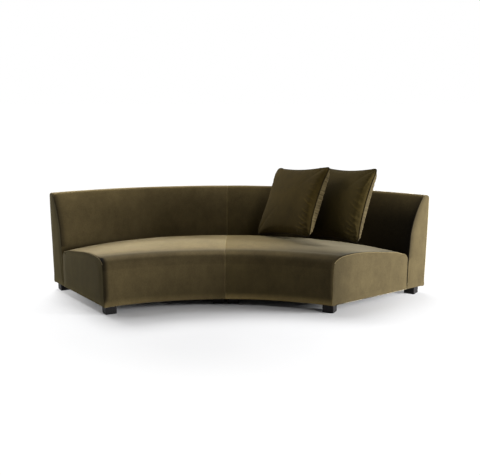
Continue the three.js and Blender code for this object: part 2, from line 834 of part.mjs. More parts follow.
// The room that the back's frame takes inside its padding.
function backRoom(module) {
  const inside = backInside().slice(1).filter((point) => point.y < topRailBottom);
  const edge = inside.map((point) => new THREE.Vector2(point.x + backPad - fitGap, point.y));
  const section = [
    new THREE.Vector2(backRailFront - fitGap, baseHeight - overrun),
    new THREE.Vector2(backRailFront - fitGap, railTop + fitGap),
    new THREE.Vector2(edge[0].x, railTop + fitGap),
    ...edge,
    new THREE.Vector2(topRailFront - fitGap, topRailBottom),
    new THREE.Vector2(topRailFront - fitGap, topRailTop + fitGap),
    new THREE.Vector2(boardRear + fitGap, topRailTop + fitGap),
    new THREE.Vector2(boardRear + fitGap, baseHeight - overrun),
  ];
  return curvedBar(module, section, 0);
}

function seatRoom(module) {
  const section = rectangle(frontRailFront - fitGap, baseHeight - overrun, seatRailRear + fitGap, deckTop + fitGap);
  return curvedBar(module, section, 0);
}

function buildModule(module) {
  const seat = seatOutline();
  const back = backOutline();
  const bolts = backBolts(module);
  const bore = boltRadius + fitGap;
  const boltHoles = bolts.map(({ head, along, grip }) => laid(rod(bore, -overrun, grip + overrun), head, along));
  const feet = footPlaces(module).map((place) => ({ ...place, ...footPoint(module, place) }));
  const footHoles = feet.map(({ point }) => raised(rod(bore, 0, railTop), point));
  const screwPoints = Object.values(connectorDepths).map((depth) => connectorScrews(module, depth));
  const screwHole = rod(screwRadius + fitGap, -overrun, screwLength + fitGap);
  const screwHoles = screwPoints.flat().map((point) => raised(screwHole, point));
  const blocks = feet.map((place) => cornerBlock(module, place));
  const group = new THREE.Group();
  const add = (name, finish, geometry) => group.add(namedMesh(`${module.name}_${name}`, finish, geometry));

  add('seat_cover', 'velvet', cut(coverShell(module, seat, seatFall), boltHoles));
  add('seat_end_panel', 'velvet', endPanel(module, module.end, endEdge, 1, seat, seatFall, hemWidth));
  add('seat_seam_panel', 'velvet', endPanel(module, module.seam, seamEdge, 0, seat, seatFall, 0));
  add('back_cover', 'velvet', cut(coverShell(module, back, noFall), boltHoles));
  add('back_end_panel', 'velvet', endPanel(module, module.end, endEdge, 1, back, noFall, hemWidth));
  add('back_seam_panel', 'velvet', endPanel(module, module.seam, seamEdge, 0, back, noFall, 0));
  add('seat_foam', 'foam', cut(foamBlock(module, seat, seatFall), [seatRoom(module), ...boltHoles]));
  add('back_foam', 'foam', cut(foamBlock(module, back, noFall), [backRoom(module), ...boltHoles]));

  const deck = rectangle(frontRailFront, deckBottom, seatRailRear, deckTop);
  add('deck_cloth', 'cloth', curvedBar(module, deck, fitGap));
  add('spring_set', 'steel', springSet(module));

  const frontRail = rectangle(frontRailFront, railBottom, frontRailRear, railTop);
  add('front_rail', 'timber', curvedBar(module, frontRail, fitGap));
  const rearRail = rectangle(seatRailFront, railBottom, seatRailRear, railTop);
  add('seat_rear_rail', 'timber', cut(curvedBar(module, rearRail, fitGap), boltHoles));
  const boardEnd = seatRailFront - chordSag(seatRailFront) - fitGap;
  const sideRail = rectangle(frontRailRear + fitGap, railBottom, boardEnd, railTop);
  const [fromSeam, fromEnd] = [seamInset + fitGap, endInset + fitGap];
  const endRail = flatBoard(module, module.end, fromEnd, fromEnd + railThickness, sideRail);
  add('end_rail', 'timber', cut(joined([endRail, blocks[0]]), footHoles));
  const seamRail = flatBoard(module, module.seam, fromSeam, fromSeam + railThickness, sideRail);
  add('seam_rail', 'timber', cut(joined([seamRail, blocks[2]]), [...footHoles, ...screwHoles]));
  const crossOutline = rectangle(frontRailRear + fitGap, railBottom, boardEnd, railBottom + crossRailHeight);
  const middle = fanLine(module, 0.5);
  add('cross_rail', 'timber', flatBoard(module, middle, -railThickness / 2, railThickness / 2, crossOutline));

  const innerFoot = rectangle(backRailFront, railBottom, backRailRear, railTop);
  const outerFoot = rectangle(outsideRailFront, railBottom, outsideRailRear, railBottom + outsideRailHeight);
  const footRails = [innerFoot, outerFoot].map((section) => curvedBar(module, section, fitGap));
  const frame = joined([...footRails, ...backRibs(module), blocks[1], blocks[3]]);
  add('back_frame', 'timber', cut(frame, [...boltHoles, ...footHoles]));
  const crest = rectangle(topRailFront, topRailBottom, outsideRailRear, topRailTop);
  add('back_top_rail', 'timber', curvedBar(module, crest, fitGap));
  const board = rectangle(boardFront, railBottom + boardLift, boardRear, topRailTop);
  add('back_board', 'board', curvedBar(module, board, fitGap));

  const dustTop = baseHeight + coverThickness;
  const hemGap = fitGap + chordSag(outsideDepth);
  const under = rectangle(hemWidth + hemGap, baseHeight, outsideDepth - hemWidth - hemGap, dustTop);
  const dustCover = curvedBar(module, under, fitGap, hemWidth);
  add('dust_cover', 'cloth', cut(dustCover, [...footHoles, ...screwHoles]));

  for (const { name, head, along, grip } of bolts) {
    add(`${name}_back_bolt`, 'steel', laid(nuttedBolt(grip), head, along));
  }
  const holdsTongue = module.name === 'left';
  Object.entries(connectorDepths).forEach(([name, depth], i) => {
    const plate = holdsTongue ? tonguePlate(module, depth) : keeperStrap(module, depth);
    const screws = screwPoints[i].map((point) => raised(screw(), point));
    add(`${name}_connector_${holdsTongue ? 'tongue' : 'keeper'}`, 'steel', joined([plate, ...screws]));
  });
  for (const { name, point, turn } of feet) {
    const foot = namedMesh(`${module.name}_${name}_foot`, 'foot', footBlock());
    foot.position.copy(point);
    foot.rotation.z = turn;
    group.add(foot);
  }
  return group;
}

function namedMesh(name, finish, geometry) {
  geometry.computeVertexNormals();
  const mesh = new THREE.Mesh(geometry, finishes[finish]());
  mesh.name = name;
  return mesh;
}

// Loose cushions. In a cushion's own frame, x runs across it, y through it to the back, and z up it.

// A point of the outline's plane, from two numbers between -1 and 1. The sides are drawn in between corners.
function cushionPoint(size, across, up) {
  const half = size / 2;
  const x = half * across * (1 - drawnInShare * (1 - up * up));
  const z = half * up * (1 - drawnInShare * (1 - across * across));
  return new THREE.Vector2(x, z);
}

// Grid lines lie closer together towards the edges.
function spread(i) {
  return Math.sin(Math.PI * (i / cushionSteps - 0.5));
}

// A stuffed square with a knife edge all round.
function stuffed(size, thickness) {
  const face = (turn) => {
    const rows = [];
    for (let i = 0; i <= cushionSteps; i += 1) {
      const row = [];
      for (let j = 0; j <= cushionSteps; j += 1) {
        const across = spread(j);
        const up = spread(i);
        const point = cushionPoint(size, across, up);
        const rise = thickness / 2 * Math.max((1 - across * across) * (1 - up * up), 0) ** fullness;
        const onEdge = i % cushionSteps === 0 || j % cushionSteps === 0;
        row.push(new THREE.Vector3(point.x, onEdge ? 0 : turn * rise, point.y));
      }
      rows.push(turn > 0 ? row : row.reverse());
    }
    return gridTriangles(rows, false);
  };
  return solid([...face(-1), ...face(1)]);
}

// A strip behind the lower edge, between two distances in from it, with one width front to back.
function edgeStrip(length, near, far, width) {
  const edge = (x) => cushionPoint(cushionSize, 2 * x / cushionSize, -1).y;
  const xs = Array.from({ length: zipSteps + 1 }, (_, i) => length * (i / zipSteps - 0.5));
  const outline = [
    ...xs.map((x) => new THREE.Vector2(x, edge(x) + near)),
    ...xs.slice().reverse().map((x) => new THREE.Vector2(x, edge(x) + far)),
  ];
  const rows = [-width / 2, width / 2].map((y) => outline.map((point) => (
    new THREE.Vector3(point.x, zipOffset + y, point.y)
  )));
  return loftSolid(rows, outline, outline);
}

// The piping is one closed loop that is sewn into the edge.
function piping() {
  const path = [];
  for (let i = 0; i < 4 * cushionSteps; i += 1) {
    const share = spread(i % cushionSteps);
    const side = Math.floor(i / cushionSteps);
    const [across, up] = [[share, -1], [1, share], [-share, 1], [-1, -share]][side];
    path.push(cushionPoint(cushionSize, across, up));
  }
  const rings = path.map((point, i) => {
    const before = path[(i + path.length - 1) % path.length];
    const after = path[(i + 1) % path.length];
    const [back, ahead] = [point.clone().sub(before).normalize(), after.clone().sub(point).normalize()];
    const outward = new THREE.Vector2(back.y + ahead.y, -back.x - ahead.x).normalize();
    const reach = (pipingRadius - glueOverlap) / outward.dot(new THREE.Vector2(ahead.y, -ahead.x));
    const middle = point.clone().addScaledVector(outward, reach);
    return Array.from({ length: pipingSides }, (_, k) => {
      const turn = 2 * Math.PI * k / pipingSides;
      const place = middle.clone().addScaledVector(outward, pipingRadius * Math.cos(turn));
      return new THREE.Vector3(place.x, pipingRadius * Math.sin(turn), place.y);
    });
  });
  return solid(gridTriangles([...rings, rings[0]], true));
}

function cushionCover() {
  const outside = stuffed(cushionSize, cushionThickness);
  const inside = stuffed(cushionSize - 2 * cushionEdge, cushionThickness - 2 * coverThickness);
  const slot = edgeStrip(zipLength + 2 * fitGap, -overrun, zipCutDepth, zipWidth + 2 * fitGap);
  return joined([cut(outside, [inside, slot]), piping()]);
}

function cushionInsert() {
  const slack = coverThickness + fitGap;
  return stuffed(cushionSize - 2 * cushionEdge - 2 * slack, cushionThickness - 2 * slack);
}

function buildCushion({ name, angle, turn, tilt, roll }) {
  const group = new THREE.Group();
  group.add(namedMesh(`${name}_cushion_cover`, 'velvet', cushionCover()));
  group.add(namedMesh(`${name}_cushion_insert`, 'foam', cushionInsert()));
  group.add(namedMesh(`${name}_cushion_zip`, 'cloth', edgeStrip(zipLength, ...zipDepths, zipWidth)));
  group.rotation.set(-radians(tilt), radians(roll), -radians(turn), 'ZXY');
  settle(group, radians(angle));
  return group;
}

// The seat's top at a place in the right module, found on the seat outline.
function seatTop(x, y) {
  const radius = Math.hypot(x, y);
  const depth = radius - frontRadius;
  const outline = seatOutline();
  const after = outline.findIndex((point, i) => i > 0 && point.y > frontEdgeHeight && point.x >= depth);
  if (after < 0) return baseHeight;
  const [a, b] = [outline[after - 1], outline[after]];
  const height = mix(a.y, b.y, (depth - a.x) / (b.x - a.x));
  const right = modules[1];
  const [start, end] = [angleOn(right.seam, radius, 0), angleOn(right.end, radius, 0)];
  const share = THREE.MathUtils.clamp((Math.atan2(x, y) - start) / (end - start), 0, 1);
  return height - seatFall(depth, height, share);
}

// The radius of the right module's inside back at a height, in the direction of a place.
function backRadiusAt(x, y, height) {
  const outline = backOutline();
  const above = outline.findIndex((point, i) => i > 0 && point.y >= height);
  if (above < 0) return Infinity;
  const [a, b] = [outline[above - 1], outline[above]];
  const radius = frontRadius + mix(a.x, b.x, (height - a.y) / (b.y - a.y));
  const right = modules[1];
  const [start, end] = [angleOn(right.seam, radius, 0), angleOn(right.end, radius, 0)];
  const bay = (end - start) / bayCount;
  const intoBay = THREE.MathUtils.euclideanModulo(Math.atan2(x, y) - start, bay);
  return radius * Math.cos(bay / 2) / Math.cos(intoBay - bay / 2);
}

// Places all along the edges of a turned cushion's triangles, measured from its middle.
function edgePlaces(group) {
  group.updateMatrixWorld(true);
  const places = [];
  group.traverse((node) => {
    if (!node.isMesh) return;
    const positions = node.geometry.getAttribute('position');
    const corner = (i) => new THREE.Vector3().fromBufferAttribute(positions, i).applyMatrix4(node.matrixWorld);
    const index = node.geometry.index.array;
    for (let i = 0; i < index.length; i += 1) {
      const from = corner(index[i]);
      const to = corner(index[i % 3 === 2 ? i - 2 : i + 1]);
      for (let k = 0; k < edgeSamples; k += 1) places.push(from.clone().lerp(to, k / edgeSamples));
    }
  });
  return places;
}

// Sets a turned cushion down until it rests on the seat and leans on the back.
function settle(group, angle) {
  const places = edgePlaces(group);
  const most = (measure) => places.reduce((best, place) => Math.max(best, measure(place)), -Infinity);
  let radius = frontRadius + seatDepth;
  for (let i = 0; i < settleSteps; i += 1) {
    const [x, y] = [radius * Math.sin(angle), radius * Math.cos(angle)];
    const height = restGap + most((place) => seatTop(x + place.x, y + place.y) - place.z);
    group.position.set(x, y, height);
    radius -= leanGap + most(({ x: dx, y: dy, z: dz }) => (
      Math.hypot(x + dx, y + dy) - backRadiusAt(x + dx, y + dy, height + dz)
    ));
  }
}

// The whole sofa stands with the middle of its footprint at the origin.
const sofa = new THREE.Group();
for (const module of modules) sofa.add(buildModule(module));
for (const cushion of cushions) sofa.add(buildCushion(cushion));
const centre = new THREE.Box3().setFromObject(sofa, true).getCenter(new THREE.Vector3());
sofa.position.set(-centre.x, -centre.y, 0);

export default sofa;
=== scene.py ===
import math

import bpy
import numpy as np
from mathutils import Matrix, Vector, noise


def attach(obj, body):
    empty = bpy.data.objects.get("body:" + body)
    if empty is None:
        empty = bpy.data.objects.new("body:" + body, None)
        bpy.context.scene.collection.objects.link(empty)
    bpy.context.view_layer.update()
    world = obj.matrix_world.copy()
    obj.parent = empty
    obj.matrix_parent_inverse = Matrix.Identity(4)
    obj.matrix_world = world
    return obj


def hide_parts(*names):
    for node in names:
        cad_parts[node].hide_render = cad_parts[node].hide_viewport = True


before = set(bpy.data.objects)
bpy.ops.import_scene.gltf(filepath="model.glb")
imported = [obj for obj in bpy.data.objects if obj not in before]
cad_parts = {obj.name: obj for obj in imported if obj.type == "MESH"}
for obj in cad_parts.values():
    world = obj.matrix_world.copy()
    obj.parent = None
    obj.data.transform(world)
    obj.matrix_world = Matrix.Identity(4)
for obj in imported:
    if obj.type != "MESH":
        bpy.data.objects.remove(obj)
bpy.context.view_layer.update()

# ---------------------------------------------------------------- sizes, in millimetres as in the CAD

FRONT_RADIUS = 1796.0
OUTSIDE_DEPTH = 895.0
HALF_GAP = 0.3
CENTRE = (-87.430, -2136.744)
MODULES = {
    "left": {"side": -1, "front": 28.9, "back": 31.3},
    "right": {"side": 1, "front": 25.7, "back": 35.7},
}
SEAT_HEIGHT = 433.0
DECK_TOP = 231.9
END_DROP = 50.0
FALL_FROM, FALL_TO = 100.0, 658.0
REAR_CORNER, REAR_CORNER_WIDTH, REAR_CORNER_DROP = 640.0, 40.0, 10.0
MM = 0.001


# ---------------------------------------------------------------- plan curves

def plan_line(front, back, inward, shift):
    """A cut through the crescent in plan, given by its angles on the front and the back arc."""
    a, b = math.radians(front), math.radians(back)
    start = FRONT_RADIUS * np.array([math.sin(a), math.cos(a)])
    end = (FRONT_RADIUS + OUTSIDE_DEPTH) * np.array([math.sin(b), math.cos(b)])
    along = (end - start) / np.linalg.norm(end - start)
    across = np.array([along[1], -along[0]]) * inward
    return start + across * shift, along, across


def angle_on(line, radius, distance):
    """The angles at which lines that far inside a cut meet the arcs of these radii."""
    start, along, across = line
    origin = start[None, :] + np.outer(distance, across)
    half = origin @ along
    reach = np.sqrt(half ** 2 - (origin ** 2).sum(1) + radius ** 2) - half
    point = origin + np.outer(reach, along)
    return np.arctan2(point[:, 0], point[:, 1])


for module in MODULES.values():
    module["seam"] = plan_line(0, 0, 1, HALF_GAP)
    module["end"] = plan_line(module["front"], module["back"], -1, 0)


def smooth(x):
    x = np.clip(x, 0, 1)
    return x * x * (3 - 2 * x)


def place(module, u, z, share, d_seam, d_end):
    """Points of a module, in millimetres, from depths, heights and a share of the way from seam to end."""
    u, z = np.asarray(u, float), np.asarray(z, float)
    radius = FRONT_RADIUS + u
    angle = (1 - share) * angle_on(module["seam"], radius, np.broadcast_to(d_seam, u.shape))
    angle = angle + share * angle_on(module["end"], radius, np.broadcast_to(d_end, u.shape))
    x = module["side"] * radius * np.sin(angle) + CENTRE[0]
    y = radius * np.cos(angle) + CENTRE[1]
    return np.stack([x, y, z], 1)


# ---------------------------------------------------------------- outlines, as depth and height

def quad(a, b, c, n):
    t = np.linspace(0, 1, n + 1)[1:, None]
    a, b, c = map(np.array, (a, b, c))
    return (1 - t) ** 2 * a + 2 * t * (1 - t) * b + t * t * c


def cubic(a, b, c, d, n):
    t = np.linspace(0, 1, n + 1)[1:, None]
    a, b, c, d = map(np.array, (a, b, c, d))
    return (1 - t) ** 3 * a + 3 * t * (1 - t) ** 2 * b + 3 * t * t * (1 - t) * c + t ** 3 * d


def straight(a, b, n):
    t = np.linspace(0, 1, n + 1)[1:, None]
    return (1 - t) * np.array(a) + t * np.array(b)


def arc(x, y, rx, ry, first, last, n):
    t = np.radians(np.linspace(first, last, n + 1))[1:]
    return np.stack([x + rx * np.cos(t), y + ry * np.sin(t)], 1)


def seat_outline():
    """A seat's section, from its hem over the front, the top and the rear."""
    start = np.array([[30.0, 60.4], [30.0, 57.0], [20.0, 57.0], [10.0, 57.0]])
    parts = [
        start,
        arc(10, 67, 10, 10, -90, -180, 4),
        quad((0, 67), (-12, 209.5), (0, 362), 26),
        arc(100, 362, 100, 60.6, 180, 90, 16),
        quad((100, 422.6), (332.8, 443.8), (603.9, 419.1), 34),
        quad((603.9, 419.1), (688.2, 413.5), (708, 329.1), 16),
        straight((708, 329.1), (708, 60.4), 20),
        straight((708, 60.4), (30, 60.4), 34)[:-1],
    ]
    return np.concatenate(parts)


def back_outline():
    """A back's section, from its foot up the inside, over the top and down the outside."""
    start = np.array([[708.4, 60.4]])
    parts = [
        start,
        straight((708.4, 60.4), (708.4, 231.9), 8),
        straight((708.4, 231.9), (722.4, 472.2), 14),
        cubic((722.4, 472.2), (728.9, 558.8), (775.6, 688.6), (836.2, 777.6), 26),
        cubic((836.2, 777.6), (842.5, 785.0), (848.4, 787.0), (863.3, 787.0), 6),
        quad((863.3, 787), (907, 787), (907, 759.5), 10),
        quad((907, 759.5), (907, 495), (895, 67), 40),
        arc(885, 67, 10, 10, 0, -90, 4),
        straight((885, 57), (865, 57), 2),
        straight((865, 57), (865, 60.4), 1),
        straight((865, 60.4), (708.4, 60.4), 8)[:-1],
    ]
    return np.concatenate(parts)


def outline_normals(points):
    """Unit directions out of a closed outline."""
    area = np.sum(points[:, 0] * np.roll(points[:, 1], -1) - np.roll(points[:, 0], -1) * points[:, 1])
    turn = 1 if area > 0 else -1
    before = points - np.roll(points, 1, 0)
    after = np.roll(points, -1, 0) - points
    before /= np.linalg.norm(before, axis=1)[:, None]
    after /= np.linalg.norm(after, axis=1)[:, None]
    normal = turn * np.stack([before[:, 1] + after[:, 1], -(before[:, 0] + after[:, 0])], 1)
    return normal / np.linalg.norm(normal, axis=1)[:, None]


def flat_bottom(outline):
    """The same outline with its hem step filled in, for the flat panels."""
    flat = outline.copy()
    flat[flat[:, 1] < 61, 1] = 57.0
    for i in range(len(flat)):
        k = (i + 1) % len(flat)
        if np.linalg.norm(flat[i] - flat[k]) < 0.5:
            travel = flat[(k + 1) % len(flat)] - flat[i - 1]
            travel /= np.linalg.norm(travel)
            flat[i] -= 1.5 * travel
            flat[k] += 1.5 * travel
    return flat


def reach(points, centre):
    """How far the centre of a flat panel lies inside each part of its outline."""
    return np.abs(((points - centre) * outline_normals(points)).sum(1))


def evened(values):
    """Values round an outline, evened out at its corners."""
    for _ in range(24):
        values = (np.roll(values, 1) + values + np.roll(values, -1)) / 3
    return values


# ---------------------------------------------------------------- meshes

CAP_STEPS = (0.1, 0.22, 0.36, 0.5, 0.62, 0.72, 0.8, 0.87, 0.92, 0.96, 0.985)
SEAM_RINGS = 5
END_RINGS = 6
PANEL_RING = 3
PUFF_FADE = 30.0


def mesh_object(name, vertices, faces, material):
    mesh = bpy.data.meshes.new(name)
    mesh.from_pydata([tuple(v) for v in vertices], [], faces)
    mesh.validate()
    mesh.update()
    mesh.polygons.foreach_set("use_smooth", [True] * len(mesh.polygons))
    thing = bpy.data.objects.new(name, mesh)
    bpy.context.scene.collection.objects.link(thing)
    mesh.materials.append(material)
    return thing


def rounding(radius, steps):
    """Rings over one rounded edge: how far in from the plane, and how far in from the outline."""
    turns = np.linspace(0, math.pi / 2, steps + 1)[1:]
    return [(radius * (1 - math.sin(t)), radius * (1 - math.cos(t))) for t in turns]


def seat_fall(u, z, share):
    """How far a seat's top falls towards the outer end, where its rear corner is rounder too."""
    high = np.clip((z - DECK_TOP) / (SEAT_HEIGHT - DECK_TOP), 0, 1)
    corner = np.exp(-((u - REAR_CORNER) / REAR_CORNER_WIDTH) ** 2)
    rounder = REAR_CORNER_DROP * corner * (z > 380) * share ** 6
    return END_DROP * smooth((u - FALL_FROM) / (FALL_TO - FALL_FROM)) * high * share ** 2.5 + rounder


def no_fall(u, z, share):
    return np.zeros_like(u)


def paint(thing, shift):
    """Painted light (above 0) and painted shade (below 0) at each vertex, which scale the velvet's colour."""
    layer = thing.data.attributes.new("painted_light_shift", "FLOAT", "POINT")
    layer.data.foreach_set("value", np.asarray(shift, float))


def upholstery(name, module, outline, softness, fall, stations, puff, centre, materials, relief, pile):
    """One closed padded form, swept from the seam to the outer end. A flat panel closes each end: its rings
    shrink towards centre, and the outer one stands out by puff. Returns the object and the edge along which
    the outer panel is sewn in."""
    normals = outline_normals(outline)
    count = len(outline)
    flat = flat_bottom(outline)
    far = reach(flat, centre)
    even_far = evened(far)
    r_end = softness(outline[:, 0], outline[:, 1])
    r_seam = seam_softness(outline[:, 0], outline[:, 1])
    rings, depths, heights = [], [], []

    def add(shape, share, d_seam, d_end):
        u, z = shape[:, 0], shape[:, 1]
        depths.append(u)
        heights.append(z)
        rings.append(place(module, u, z - fall(u, z, share), share, d_seam, d_end))

    def ring(share, d_seam, d_end, inset):
        add(outline - normals * np.asarray(inset).reshape(-1, 1), share, d_seam, d_end)

    def cap(share, d_seam, d_end, inset, toward, puff):
        shape = centre + (flat - centre) * (toward * (1 - inset / far)).reshape(-1, 1)
        lift = puff * (1 - np.exp(-((1 - toward) * even_far / PUFF_FADE) ** 2))
        add(shape, share, d_seam - lift * (share < 0.5), d_end - lift * (share > 0.5))

    for toward in CAP_STEPS:
        cap(0.0, 0.0, r_end, r_seam, toward, 0.0)
    for d, inset in reversed(rounding(r_seam, SEAM_RINGS)):
        ring(0.0, d, r_end, inset)
    for share in np.linspace(0, 1, stations + 1):
        ring(share, r_seam, r_end, 0.0)
    end = len(rings) * count
    panel = end + PANEL_RING * count
    for d, inset in rounding(r_end, END_RINGS):
        ring(1.0, r_seam, d, inset)
    for toward in reversed(CAP_STEPS):
        cap(1.0, r_seam, 0.0, r_end, toward, puff)

    points = np.concatenate([*rings, [rings[0].mean(0), rings[-1].mean(0)]]) * MM
    faces = []
    for i in range(len(rings) - 1):
        for j in range(count):
            k = (j + 1) % count
            faces.append((i * count + j, i * count + k, (i + 1) * count + k, (i + 1) * count + j))
    top = (len(rings) - 1) * count
    for j in range(count):
        k = (j + 1) % count
        faces.append((len(points) - 2, k, j))
        faces.append((len(points) - 1, top + j, top + k))
    thing = mesh_object(name, points, faces, materials[0])
    thing.data.materials.append(materials[1])
    for polygon in thing.data.polygons:
        if min(polygon.vertices) >= panel:
            polygon.material_index = 1
    outward(thing)
    soften(thing, relief)

    co, _ = vertex_arrays(thing.data)
    from_end = np.zeros(len(co))
    swept = co[:end].reshape(-1, count, 3)
    from_end[:end] = np.linalg.norm(swept - co[end:end + count], axis=2).ravel() / MM
    depth = np.concatenate(depths + [centre[:1], centre[:1]])
    height = np.concatenate(heights + [centre[1:], centre[1:]])
    on_cap = np.arange(len(co)) >= panel + count
    # pile gives each vertex its painted light and shade
    paint(thing, pile(depth, height, from_end, on_cap, co[:, 0]))
    return thing, co[panel:panel + count]


def outward(thing):
    """Turns all faces so that the closed mesh has a positive volume."""
    mesh = thing.data
    co = np.empty(len(mesh.vertices) * 3)
    mesh.vertices.foreach_get("co", co)
    co = co.reshape(-1, 3)
    mesh.calc_loop_triangles()
    corners = np.empty(len(mesh.loop_triangles) * 3, int)
    mesh.loop_triangles.foreach_get("vertices", corners)
    a, b, c = (co[corners.reshape(-1, 3)[:, k]] for k in range(3))
    if np.einsum("ij,ij->", a, np.cross(b, c)) < 0:
        mesh.flip_normals()


def vertex_arrays(mesh):
    """The places and the normals of a mesh's vertices."""
    co = np.empty(len(mesh.vertices) * 3)
    no = np.empty(len(mesh.vertices) * 3)
    mesh.vertices.foreach_get("co", co)
    mesh.vertices.foreach_get("normal", no)
    return co.reshape(-1, 3), no.reshape(-1, 3)


def soften(thing, height, seed=0.0):
    """Low dents and swells that stuffed cloth has, along the normals."""
    mesh = thing.data
    co, no = vertex_arrays(mesh)
    for i in range(len(co)):
        p = Vector(co[i]) + Vector((seed, seed, seed))
        wave = 0.65 * noise.noise(p * 3.1) + 0.35 * noise.noise(p * 8.3 + Vector((4, 1, 7)))
        co[i] += no[i] * wave * height
    mesh.vertices.foreach_set("co", co.ravel())
    mesh.update()


def tube(name, path, radius, sides, material, closed=True):
    """A round cord of cloth along a path of points."""
    path = np.asarray(path, float)
    ahead = np.roll(path, -1, 0) - np.roll(path, 1, 0)
    if not closed:
        ahead[0] = path[1] - path[0]
        ahead[-1] = path[-1] - path[-2]
    ahead /= np.linalg.norm(ahead, axis=1)[:, None]
    vertices, faces = [], []
    normal = np.cross(ahead[0], [0.0, 0.0, 1.0])
    if np.linalg.norm(normal) < 0.1:
        normal = np.cross(ahead[0], [0.0, 1.0, 0.0])
    normal /= np.linalg.norm(normal)
    for p, d in zip(path, ahead):
        normal = normal - d * (normal @ d)
        normal /= np.linalg.norm(normal)
        other = np.cross(d, normal)
        for k in range(sides):
            t = 2 * math.pi * k / sides
            vertices.append(p + radius * (math.cos(t) * normal + math.sin(t) * other))
    last = len(path) if closed else len(path) - 1
    for i in range(last):
        j = (i + 1) % len(path)
        for k in range(sides):
            m = (k + 1) % sides
            faces.append((i * sides + k, i * sides + m, j * sides + m, j * sides + k))
    if not closed:
        faces.append(tuple(range(sides)))
        faces.append(tuple(reversed(range((len(path) - 1) * sides, len(path) * sides))))
    thing = mesh_object(name, vertices, faces, material)
    outward(thing)
    return thing


# ---------------------------------------------------------------- materials

def linear(r, g, b):
    """A colour, from its values on a screen between 0 and 255."""
    def one(c):
        c /= 255
        return c / 12.92 if c <= 0.04045 else ((c + 0.055) / 1.055) ** 2.4
    return one(r), one(g), one(b), 1.0


def new_material(name):
    """A material with one plain shader, and the object coordinates that its patterns follow."""
    material = bpy.data.materials.new(name)
    material.use_nodes = True
    tree = material.node_tree
    tree.nodes.clear()
    output = tree.nodes.new("ShaderNodeOutputMaterial")
    shader = tree.nodes.new("ShaderNodeBsdfPrincipled")
    tree.links.new(shader.outputs[0], output.inputs[0])
    return material, tree, shader, tree.nodes.new("ShaderNodeTexCoord").outputs["Object"]


def connect(tree, value, socket):
    """Gives a socket a plain number, or links another node's output to it."""
    if isinstance(value, (int, float)):
        socket.default_value = value
    else:
        tree.links.new(value, socket)


def noise_texture(tree, source, scale, detail, roughness=0.5):
    node = tree.nodes.new("ShaderNodeTexNoise")
    node.inputs["Scale"].default_value = scale
    node.inputs["Detail"].default_value = detail
    node.inputs["Roughness"].default_value = roughness
    tree.links.new(source, node.inputs["Vector"])
    return node.outputs["Fac"]


def stretched(tree, source, scale):
    node = tree.nodes.new("ShaderNodeMapping")
    node.inputs["Scale"].default_value = scale
    tree.links.new(source, node.inputs["Vector"])
    return node.outputs[0]


def calculate(tree, operation, *values):
    node = tree.nodes.new("ShaderNodeMath")
    node.operation = operation
    for value, socket in zip(values, node.inputs):
        connect(tree, value, socket)
    return node.outputs[0]


def mix(tree, share, first, second):
    node = tree.nodes.new("ShaderNodeMix")
    node.data_type = "FLOAT"
    for value, k in ((share, 0), (first, 2), (second, 3)):
        connect(tree, value, node.inputs[k])
    return node.outputs[0]


def map_range(tree, value, given, wanted, soft=False):
    node = tree.nodes.new("ShaderNodeMapRange")
    if soft:
        node.interpolation_type = "SMOOTHSTEP"
    node.inputs["From Min"].default_value, node.inputs["From Max"].default_value = given
    node.inputs["To Min"].default_value, node.inputs["To Max"].default_value = wanted
    tree.links.new(value, node.inputs["Value"])
    return node.outputs[0]


def ramp(tree, fac, first, second):
    """Two colours, each with its place on the way from 0 to 1."""
    node = tree.nodes.new("ShaderNodeValToRGB")
    for element, (position, colour) in zip(node.color_ramp.elements, (first, second)):
        element.position = position
        element.color = colour
    tree.links.new(fac, node.inputs["Fac"])
    return node.outputs["Color"]


def bump(tree, shader, height, strength, distance):
    node = tree.nodes.new("ShaderNodeBump")
    node.inputs["Strength"].default_value = strength
    node.inputs["Distance"].default_value = distance
    tree.links.new(height, node.inputs["Height"])
    tree.links.new(node.outputs[0], shader.inputs["Normal"])


# Painted light and shade: how far either side of the middle the velvet's painted falloff reaches, and the widths
# of the painted highlights at the seam and the hem.
SHADE_FALLOFF_END = 1.4
SEAM_WIDTH = 0.009
HEM_FROM, HEM_TO = 0.06, 0.12
SHEEN_TINT = (1.0, 0.88, 0.6, 1.0)
SHEEN_ROUGHNESS = 0.3


